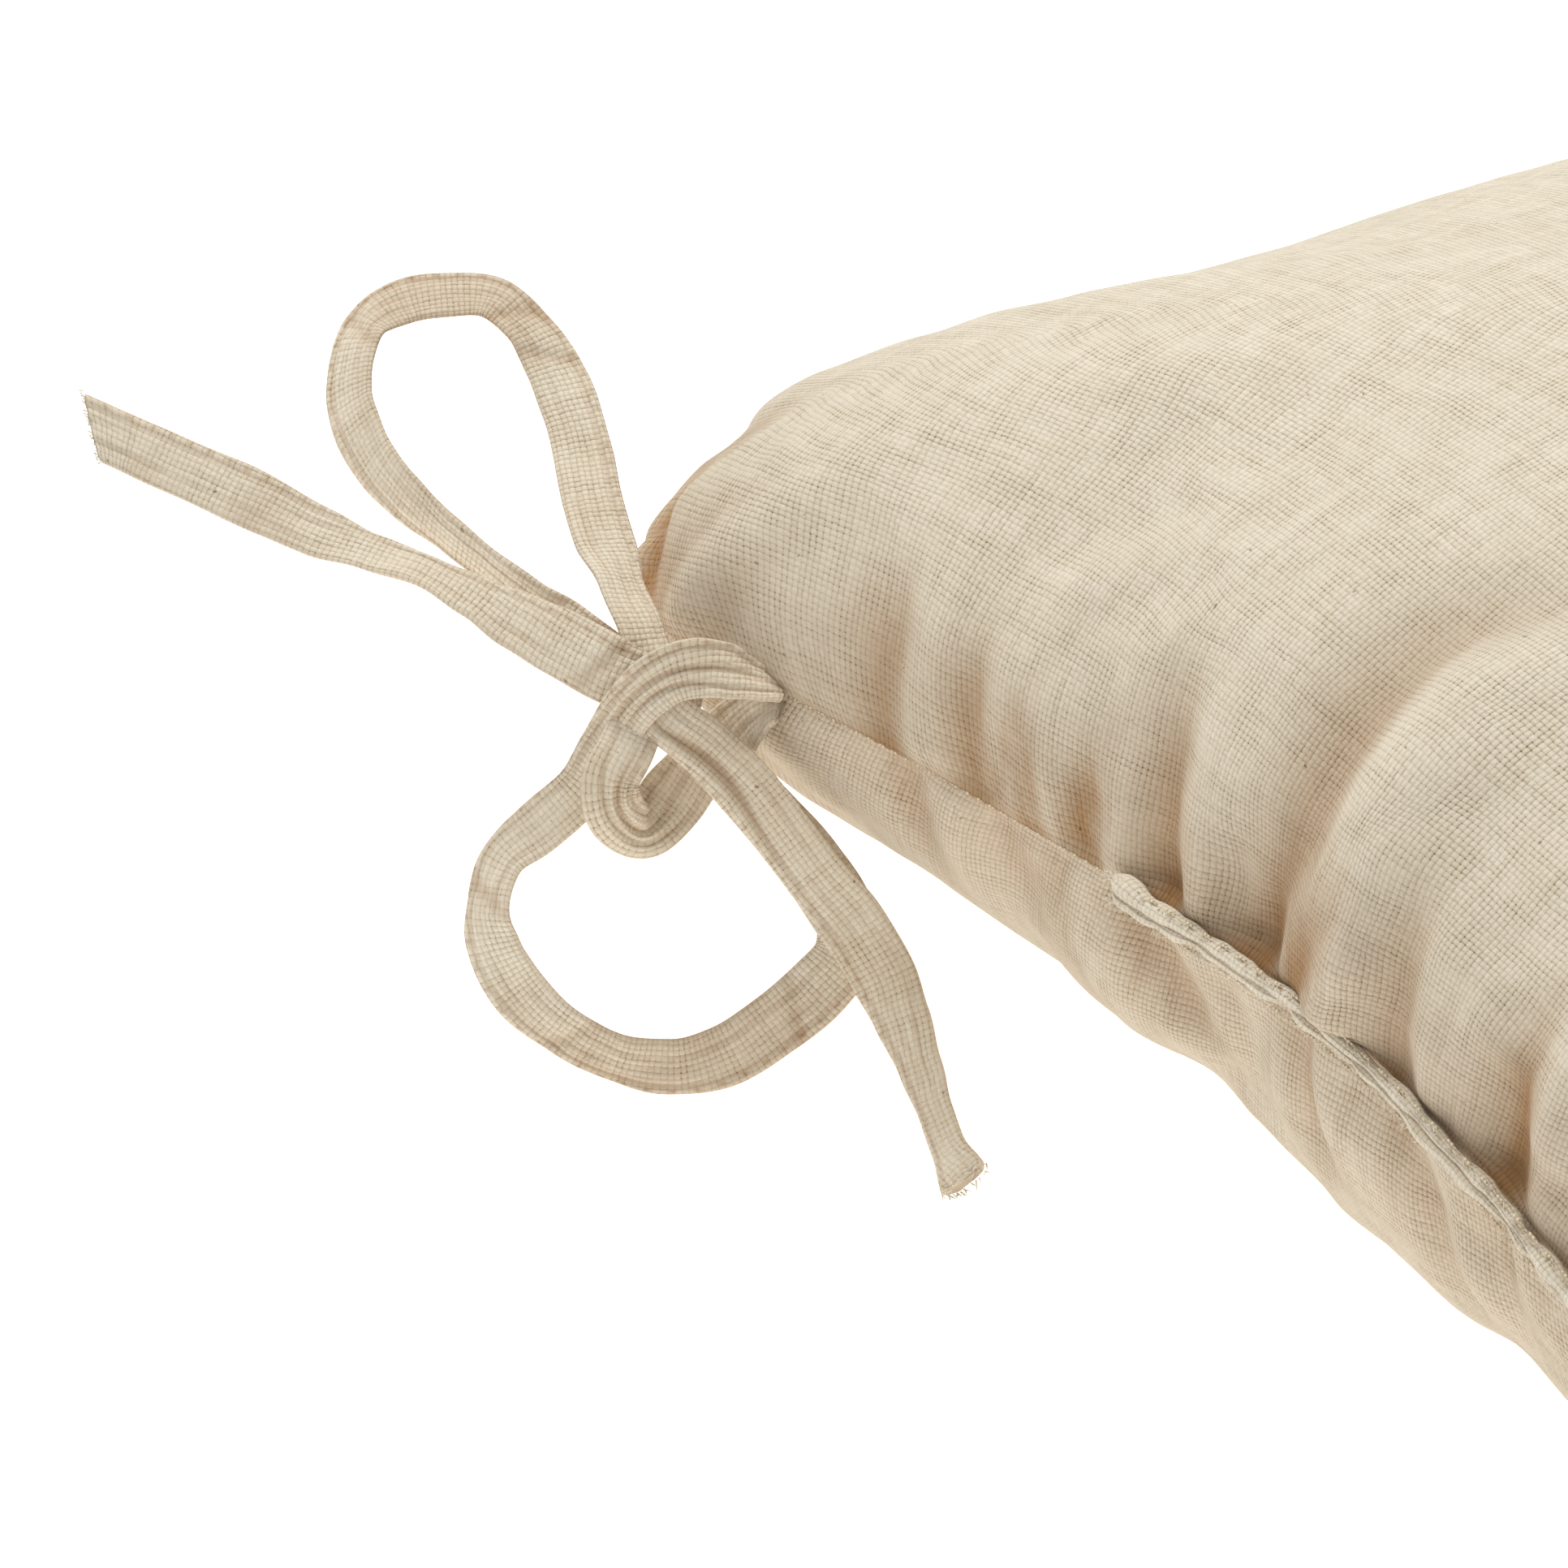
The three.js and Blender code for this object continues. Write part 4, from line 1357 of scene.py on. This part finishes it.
    def _gathers(
        self, run: np.ndarray, panel: Panel, near_seam: Callable[[float | np.ndarray], np.ndarray]
    ) -> np.ndarray:
        """The short gathers that run into the seam from a panel.

        Args:
            run: Distance round the edge in metres.
            panel: Top or bottom.
            near_seam: Gives a hump over the seam for a reach in metres.

        Returns:
            The gathers' height, from about -1 to 1.
        """
        places = np.stack([run, np.full_like(run, 0.3 * panel.value), np.zeros_like(run)], -1).reshape(-1, 3)
        broad, fine, uneven = (
            ripples(places, size, seed).reshape(run.shape)
            for size, seed in ((self.broad_gather, 2.0), (self.fine_gather, 6.0), (12 * MM, 9.0))
        )
        reach = self.broad_reach * (1 + 0.7 * uneven)
        return broad * near_seam(reach) + 0.4 * fine * near_seam(self.fine_reach)

    def _folded(self, flat: np.ndarray, panel: Panel) -> tuple[np.ndarray, np.ndarray]:
        """The height that the panel's folds add, and the painted shade in them.

        Args:
            flat: The cut panel's points in millimetres.
            panel: Top or bottom.

        Returns:
            Heights in millimetres, and painted shade from 0 to 1.
        """
        rise, crease = np.zeros(flat.shape[:2]), np.zeros(flat.shape[:2])
        for fold in self.folds:
            if fold.panel is not panel:
                continue
            nearest = np.full(flat.shape[:2], 1e9)
            signed, along = np.zeros(flat.shape[:2]), np.zeros(flat.shape[:2])
            corners = np.array(fold.points, float)
            lengths = np.hypot(*np.diff(corners, axis=0).T)
            total, gone = lengths.sum(), 0.0
            for a, b, length in zip(corners, corners[1:], lengths):
                way = (b - a) / length
                rel = flat - a
                on = np.clip(rel @ way, 0, length)
                off = rel - on[..., None] * way
                far = np.hypot(off[..., 0], off[..., 1])
                closer = far < nearest
                side = np.sign(way[0] * rel[..., 1] - way[1] * rel[..., 0])
                nearest = np.where(closer, far, nearest)
                signed = np.where(closer, far * side, signed)
                along = np.where(closer, (gone + on) / total, along)
                gone += length
            # a fold is deepest at the seam and runs out into the panel
            body = 1 - smoothstep(along, 0.35, 1.0)
            far_off = total * 1.6 + 40
            body = np.where(np.hypot(*np.moveaxis(flat - corners[0], -1, 0)) > far_off, 0, body)
            slope = np.where(signed * fold.lean > 0, 0.7, 1.6) * fold.width
            dip = np.exp(-((signed / slope) ** 2)) * body
            rise -= fold.depth * dip
            # painted shade in the fold
            crease += fold.tint * dip
            if fold.lobe:
                off = (signed * fold.lean - fold.lobe_width) / (fold.lobe_width * 0.75)
                rise += fold.lobe * np.exp(-(off**2)) * body
        return rise, np.clip(crease, 0, 1)

    def make(self, cloth: Material, fibre: Material) -> list[Piece]:
        """Makes both panels and the filling.

        Args:
            cloth: The panels' material.
            fibre: The filling's material.

        Returns:
            The pieces.
        """
        wrinkles = self.trial()
        return [self._panel(panel, wrinkles, cloth) for panel in Panel] + [self._filling(fibre)]

    def _panel(self, panel: Panel, wrinkles: dict[Panel, np.ndarray], cloth: Material) -> Piece:
        """Makes one panel of the case.

        Args:
            panel: Top or bottom.
            wrinkles: The trial's wrinkles.
            cloth: The panel's material.

        Returns:
            The panel.
        """
        lines = self.spots(self.cells, self.crowding)
        grid, crease = self.shape(panel, wrinkles, lines)
        flat = self.flat(lines)
        sheet = bmesh.new()
        bmesh.ops.create_grid(sheet, x_segments=self.cells, y_segments=self.cells, size=1)
        weave = sheet.loops.layers.uv.new("weave")
        painted_shade_and_marks_layer = sheet.verts.layers.float.new("crease")
        other_cloth = 0 if panel is Panel.TOP else 0.7  # cut from another place of the roll
        for vert in sheet.verts:
            i, j = (round((c + 1) / 2 * self.cells) for c in vert.co.xy)
            vert.co = grid[i, j]
            vert[painted_shade_and_marks_layer] = crease[i, j]
            for loop in vert.link_loops:
                loop[weave].uv = flat[i, j] + other_cloth
        if panel is Panel.BOTTOM:
            bmesh.ops.reverse_faces(sheet, faces=sheet.faces[:])
        name = f"{panel.name.lower()}_panel"
        piece = place_mesh(f"{name}_cloth", sheet, cloth, 1)
        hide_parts(name)
        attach(piece, "cushion")
        return piece

    def _filling(self, fibre: Material) -> Piece:
        """Makes the fibre filling, a little smaller than the case all round.

        Args:
            fibre: Its material.

        Returns:
            The filling.
        """
        cells, share = self.filling_cells, 0.88
        lines = self.spots(cells, self.crowding)
        grids = {panel: self.stuffed(lines, panel) for panel in Panel}
        wad = bmesh.new()
        bmesh.ops.create_grid(wad, x_segments=cells, y_segments=cells, size=1)
        copied = bmesh.ops.duplicate(wad, geom=wad.verts[:] + wad.edges[:] + wad.faces[:])["geom"]
        below = {g for g in copied if isinstance(g, bmesh.types.BMVert)}
        middle = Vector((0, 0, SEAM_HEIGHT))
        for vert in wad.verts:
            i, j = (round((c + 1) / 2 * cells) for c in vert.co.xy)
            outer = Vector(grids[Panel.BOTTOM if vert in below else Panel.TOP][i, j])
            vert.co = middle + (outer - middle) * share
        bmesh.ops.remove_doubles(wad, verts=wad.verts[:], dist=0.05 * MM)
        bmesh.ops.recalc_face_normals(wad, faces=wad.faces[:])
        piece = place_mesh("fibre_filling", wad, fibre)
        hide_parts("filling")
        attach(piece, "cushion")
        return piece


# ---------------------------------------------------------------- closing seam


@dataclass
class ClosingSeam:
    """The opening that the filling went in by, its two folded edges sewn shut on the outside."""

    case: Case
    lip_radius: float = 1.15 * MM
    lip_out: float = 1.4 * MM  # how far the rolled edges stand out from the seam
    bunch_reach: float = 7 * MM  # the first stretch, bunched where the thread was knotted
    thread_radius: float = 0.26 * MM
    stitch_pitch: float = 5 * MM
    seam_pitch: float = 3.2 * MM
    stitch_lift: float = 2.6 * MM
    around: int = 12
    step: float = 1.0 * MM

    def make(self, cloth: Material, yarn: Material, thread: Material) -> list[Piece]:
        """Makes the rolled edges, their loose fibres and all the seams' stitches.

        Args:
            cloth: The case's material.
            yarn: The material of the loose fibres.
            thread: The stitches' material.

        Returns:
            The pieces.
        """
        start, end = self.case.closing_start, self.case.closing_start - self.case.closing_length
        path = self.line(start, end)
        made = [self._lip(panel, path, cloth) for panel in Panel] + [self._fuzz(path, yarn)]
        row = [point + Vector((0, 2 * MM, 0)) for point in path]
        for place, node, lift in (
            ("above", "closing_needle_thread", self.stitch_lift),
            ("below", "closing_bobbin_thread", -self.stitch_lift),
        ):
            name = f"closing_stitches_{place}"
            made.append(self._stitches(name, node, row, lift, self.stitch_pitch, thread))
        # the machine-sewn seam runs all the way round, from one end of the closing seam to the other
        back, sunk, stops = 220 * MM, 1.2 * MM, 900
        angles = np.linspace(math.atan2(back, end), math.atan2(back, start) + 2 * math.pi, stops)
        reach = self.case.rim_at(angles) - sunk
        levels = self.case.seam_level(angles)
        around = [Vector((r * math.cos(a), r * math.sin(a), z)) for r, a, z in zip(reach, angles, levels)]
        made.append(self._stitches("seam_stitches", "seam_thread", around, 0.0, self.seam_pitch, thread))
        return made

    def line(self, start: float, end: float) -> list[Vector]:
        """Points along the back edge's seam.

        Args:
            start: The first x in metres.
            end: The last x.

        Returns:
            Points on the seam, a step apart.
        """
        count = max(2, round(abs(end - start) / self.step))
        made = []
        for x in np.linspace(start, end, count + 1):
            angle = math.pi / 2
            for _ in range(30):
                angle = math.atan2(float(self.case.rim_at(np.array([angle]))[0]) * math.sin(angle), x)
            reach = float(self.case.rim_at(np.array([angle]))[0])
            made.append(Vector((x, reach * math.sin(angle), float(self.case.seam_level(angle)))))
        return made

    def _lip(self, panel: Panel, path: list[Vector], cloth: Material) -> Piece:
        """One rolled edge, lumpy where the seam allowance was pushed in by hand.

        Args:
            panel: The panel whose edge it is.
            path: Points along the closing seam.
            cloth: Its material.

        Returns:
            The rolled edge.
        """
        rows, way = len(path), panel.value
        roll = bmesh.new()
        weave = roll.loops.layers.uv.new("weave")
        painted_shade_and_marks_layer = roll.verts.layers.float.new("crease")
        bmesh.ops.create_grid(roll, x_segments=self.around, y_segments=rows - 1, size=1)
        for vert in roll.verts:
            column = round((vert.co.x + 1) / 2 * self.around)
            row = round((vert.co.y + 1) / 2 * (rows - 1))
            tangent = (path[min(row + 1, rows - 1)] - path[max(row - 1, 0)]).normalized()
            out = tangent.cross(UP) * (-1 if tangent.cross(UP).y < 0 else 1)
            along = row * self.step
            turn = column / self.around * 2 * math.pi
            lump = noise.noise(Vector((along / 0.0062, 3.0 * way, 0.5)))
            sway = noise.noise(Vector((along / 0.015, 7.0 * way, 2.5)))
            wobble = noise.noise(Vector((along / 0.021, 1.0, 8.5)))
            knobble = noise.noise(
                Vector((along / 0.0024, 2.2 * math.cos(turn), 2.2 * math.sin(turn) + way))
            )
            bunch = 0.9 * bell(along, self.bunch_reach) if panel is Panel.TOP else 0.0
            fat = self.lip_radius * (1 + 0.6 * lump + 0.5 * bunch) + 0.22 * MM * knobble
            ends = min(1.0, 0.35 + min(row, rows - 1 - row) / 4)
            level = way * (0.85 * MM + 0.45 * MM * lump) + 0.8 * MM * wobble + bunch * 1.2 * MM
            middle = path[row] + out * (self.lip_out + 0.6 * MM * sway) + UP * level
            place = middle + out * (math.cos(turn) * fat * 1.45 * ends) + UP * (math.sin(turn) * fat * ends)
            for loop in vert.link_loops:
                loop[weave].uv = (turn * 1.9 * MM, along)
            # the groove between the two edges and the hollows between the lumps are darkened with painted
            # shade
            groove = max(0.0, -way * math.sin(turn)) ** 2
            vert[painted_shade_and_marks_layer] = min(1.0, 0.4 * groove + 0.25 * max(0.0, -lump))
            vert.co = place
        close_tube(roll)
        piece = place_mesh(f"closing_{panel.name.lower()}_edge", roll, cloth, 1)
        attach(piece, "cushion")
        return piece

    def _fuzz(self, path: list[Vector], yarn: Material) -> Piece:
        """Broken fibres rubbed up along the rolled edges, thickest where the row starts.

        Args:
            path: Points along the closing seam.
            yarn: Their material.

        Returns:
            The fibres.
        """
        roots = []
        for row, point in enumerate(path):
            for way in (-1, 1):
                out = Vector((0.2 * noise.noise(Vector((row * 0.7, way, 0))), 1, way * 0.9)).normalized()
                roots.append((point + Vector((0, 2.4 * MM, way * 2.1 * MM)), out))
        tuft = [(point + Vector((0, 2.2 * MM, 2.6 * MM)), Vector((0.5, 0.6, 0.8))) for point in path[:5]]
        piece = loose_fibres("closing_fuzz", roots + tuft * 20, 700, 1.5 * MM, yarn)
        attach(piece, "cushion")
        return piece

    def _stitches(
        self, name: str, node: str, path: list[Vector], lift: float, pitch: float, thread: Material
    ) -> Piece:
        """A row of stitches along the seam.

        Args:
            name: The piece's name.
            node: The CAD node that it stands for.
            path: Points along the row.
            lift: Height of the row over the seam.
            pitch: From one stitch to the next.
            thread: Its material.

        Returns:
            The stitches as one piece.
        """
        shown = 0.7  # the share of the pitch that lies on the outside
        row = bmesh.new()
        gone = np.concatenate([[0], np.cumsum([(b - a).length for a, b in zip(path, path[1:])])])
        for start in np.arange(pitch, gone[-1] - pitch, pitch):
            first, last = (
                Vector([np.interp(start + far, gone, [p[k] for p in path]) for k in range(3)])
                for far in (0, pitch * shown)
            )
            way = last - first
            made = bmesh.ops.create_icosphere(row, subdivisions=1, radius=self.thread_radius)["verts"]
            aim = way.to_track_quat("X", "Z").to_matrix()
            stretch = Matrix.Diagonal((way.length / (2 * self.thread_radius), 1, 1))
            for vert in made:
                vert.co = aim @ (stretch @ vert.co) + (first + last) / 2 + UP * lift
        piece = place_mesh(name, row, thread)
        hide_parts(node)
        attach(piece, "cushion")
        return piece


# ---------------------------------------------------------------- stage


@dataclass
class Studio:
    """Camera, floor and light."""

    heading: float = 60.0
    elevation: float = 32.0
    distance: float = 1.048
    lens: float = 131.1
    sensor: float = 36.0
    aim_right: float = -0.0057  # sensor widths from the frame's middle to the tie exit
    aim_up: float = 0.0559
    floor_half: float = 6.0
    sky: float = 0.55  # strength of the light from all round
    key_place: tuple[float, float, float] = (0.65, 0.06, 1.5)
    key_aim: tuple[float, float, float] = (0.1, 0.1, 0.05)
    key_size: float = 0.7
    key_power: float = 16.0

    def make_camera(self, target: Vector) -> None:
        """Puts the camera so that the tie exit lies where it should in the frame.

        Args:
            target: The right ties' exit.
        """
        heading, elevation = math.radians(self.heading), math.radians(self.elevation)
        right = Vector((-math.cos(heading), -math.sin(heading), 0))
        ahead = Vector((math.sin(heading), -math.cos(heading), 0))
        view = ahead * math.cos(elevation) - UP * math.sin(elevation)
        up = ahead * math.sin(elevation) + UP * math.cos(elevation)
        span = self.sensor / self.lens * self.distance
        spot = target - view * self.distance - right * (self.aim_right * span) - up * (self.aim_up * span)
        data = bpy.data.cameras.new("camera")
        data.lens, data.sensor_width = self.lens, self.sensor
        data.clip_start, data.clip_end = 0.02, 50
        camera = bpy.data.objects.new("camera", data)
        pose = Matrix((right, up, -view)).transposed().to_4x4()
        pose.translation = spot
        camera.matrix_world = pose
        bpy.context.collection.objects.link(camera)
        bpy.context.scene.camera = camera

    def make_floor(self) -> None:
        """Lays a plain white floor."""
        slab = bmesh.new()
        bmesh.ops.create_grid(slab, x_segments=1, y_segments=1, size=self.floor_half)
        place_mesh("floor", slab, PaintedFloor().make())

    def make_lights(self) -> None:
        """Lights the scene softly from above and all round."""
        world = bpy.data.worlds.new("studio")
        bpy.context.scene.world = world
        world.use_nodes = True
        backdrop = world.node_tree.nodes["Background"]
        backdrop.inputs[0].default_value = linear("#ffffff")
        backdrop.inputs[1].default_value = self.sky
        lamp = bpy.data.lights.new("key", "AREA")
        lamp.size, lamp.energy = self.key_size, self.key_power
        light = bpy.data.objects.new("key", lamp)
        bpy.context.collection.objects.link(light)
        light.location = self.key_place
        light.rotation_mode = "QUATERNION"
        beam = Vector(self.key_aim) - Vector(self.key_place)
        light.rotation_quaternion = beam.to_track_quat("-Z", "Y")


# ---------------------------------------------------------------- assembly


# folds of the edge in view: the cut line, depth, width, lobe, lobe width, lean and painted shade
FOLDS = [
    Fold(
        Panel.TOP,
        [(68, 247), (69, 237), (70, 228), (70, 219), (72, 208), (76, 194)],
        4.2, 6.0, 2.2, 10, -1, 0.6,
    ),
    Fold(
        Panel.TOP,
        [
            (38, 249), (31, 236), (25, 216), (27, 202), (29, 188),
            (29, 175), (25, 165), (18, 154), (6, 142), (-10, 132),
        ],
        5.6, 9.0, 6.0, 20, -1, 0.55,
    ),
    Fold(Panel.TOP, [(19, 249), (11, 234), (8, 220), (9, 206)], 2.6, 6.0, 1.2, 9, -1, 0.4),
    Fold(Panel.TOP, [(-15, 248), (-13, 231), (-11, 214), (-6, 196)], 2.8, 6.5, 1.3, 9, -1, 0.45),
    Fold(Panel.TOP, [(-52, 250), (-50, 237), (-49, 222), (-44, 202)], 3.0, 8.0, 1.5, 12, -1, 0.4),
    Fold(Panel.TOP, [(-88, 248), (-90, 226), (-84, 205), (-80, 180)], 3.4, 9.0, 2.0, 13, -1, 0.35),
    Fold(Panel.TOP, [(151, 248), (149, 238), (147, 228), (149, 212)], 1.7, 5.5, 0.8, 9, -1, 0.5),
    Fold(Panel.TOP, [(126, 248), (126, 238), (124, 228), (124, 212)], 1.8, 5.0, 0.9, 9, -1, 0.5),
    Fold(Panel.TOP, [(110, 248), (108, 236), (107, 222)], 1.5, 4.5, 0.8, 7, -1, 0.45),
    Fold(Panel.TOP, [(92, 248), (90, 238), (89, 226)], 1.6, 4.5, 0.8, 7, -1, 0.4),
    Fold(Panel.TOP, [(218, 243), (214, 233), (219, 224), (214, 212)], 3.2, 4.5, 1.6, 7, 1, 0.7),
    Fold(Panel.BOTTOM, [(78, 249), (66, 238), (55, 227), (44, 212)], 4.2, 5.5, 2.0, 10, -1, 0.6),
    Fold(Panel.BOTTOM, [(25, 249), (17, 234), (11, 222), (0, 208)], 3.0, 6.0, 1.6, 10, -1, 0.4),
    Fold(Panel.BOTTOM, [(-12, 249), (-26, 233), (-30, 214), (-40, 200)], 3.0, 6.0, 1.6, 10, -1, 0.45),
    Fold(Panel.BOTTOM, [(-46, 249), (-55, 234), (-64, 220)], 2.2, 6.0, 1.2, 9, -1, 0.35),
    Fold(Panel.BOTTOM, [(145, 249), (136, 233), (128, 220)], 1.6, 6.0, 0.8, 9, -1, 0.3),
    Fold(Panel.BOTTOM, [(124, 249), (114, 237), (105, 222)], 1.6, 6.0, 0.8, 9, -1, 0.3),
]


def pull_lines(seed: int) -> list[Fold]:
    """Short folds that the seam's stitches pull into the cloth on the three plain sides.

    Args:
        seed: Fixes their places.

    Returns:
        The folds.
    """
    rng = np.random.default_rng(seed)
    made = []
    for panel in Panel:
        for quarter in (1, 2, 3):
            turn = quarter * math.pi / 2
            for at in np.arange(-195, 196, 34.0):
                at += rng.uniform(-9, 9)
                reach, bend = rng.uniform(28, 75), rng.uniform(-14, 14)
                line = [(at, 250.0), (at + bend * 0.3, 250 - reach * 0.5), (at + bend, 250 - reach)]
                cos, sin = math.cos(turn), math.sin(turn)
                turned = [(x * cos - y * sin, x * sin + y * cos) for x, y in line]
                depth = rng.uniform(0.8, 3.0)
                width, lobe_width = rng.uniform(5, 9), rng.uniform(8, 13)
                lean = rng.choice([-1, 1])
                # each with a little painted shade in it
                made.append(Fold(panel, turned, depth, width, depth * 0.5, lobe_width, lean, 0.25))
    return made


def main() -> None:
    """Builds the cushion on its frame."""
    logging.basicConfig(level=logging.INFO, format="%(message)s")
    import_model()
    bpy.context.scene.view_settings.view_transform = "Standard"
    panel_cloth = WovenLinen("plain_weave_linen").make()
    # the tape's cloth has its own colours for the painted shade in pinholes and in creases
    tape_cloth = WovenLinen(
        "folded_linen_tape",
        yarn_light="#efe6d3",
        yarn_dark="#d9c9ad",
        pinhole="#a78a62",
        crease_tint="#b8926a",
    ).make()
    thread, fibre = SpunThread().make(), LooseFibre().make()
    # its second colour is the painted shade in the grooves between the plies
    loose_yarn = SpunThread("frayed_linen_yarn", "#f0e8d9", "#d8cbb3").make()

    studio = Studio()
    bows = [Bow(side) for side in Side]
    studio.make_camera(bows[0].exit)
    pieces = []
    for bow in bows:
        pieces += bow.make(tape_cloth, loose_yarn)
    case = Case(folds=FOLDS + pull_lines(11))
    pieces += case.make(panel_cloth, fibre)
    pieces += ClosingSeam(case).make(panel_cloth, loose_yarn, thread)
    for piece in pieces:
        log.info("%s: %d faces", piece.name, len(piece.data.polygons))

    studio.make_floor()
    studio.make_lights()


if __name__ == "__main__":
    main()
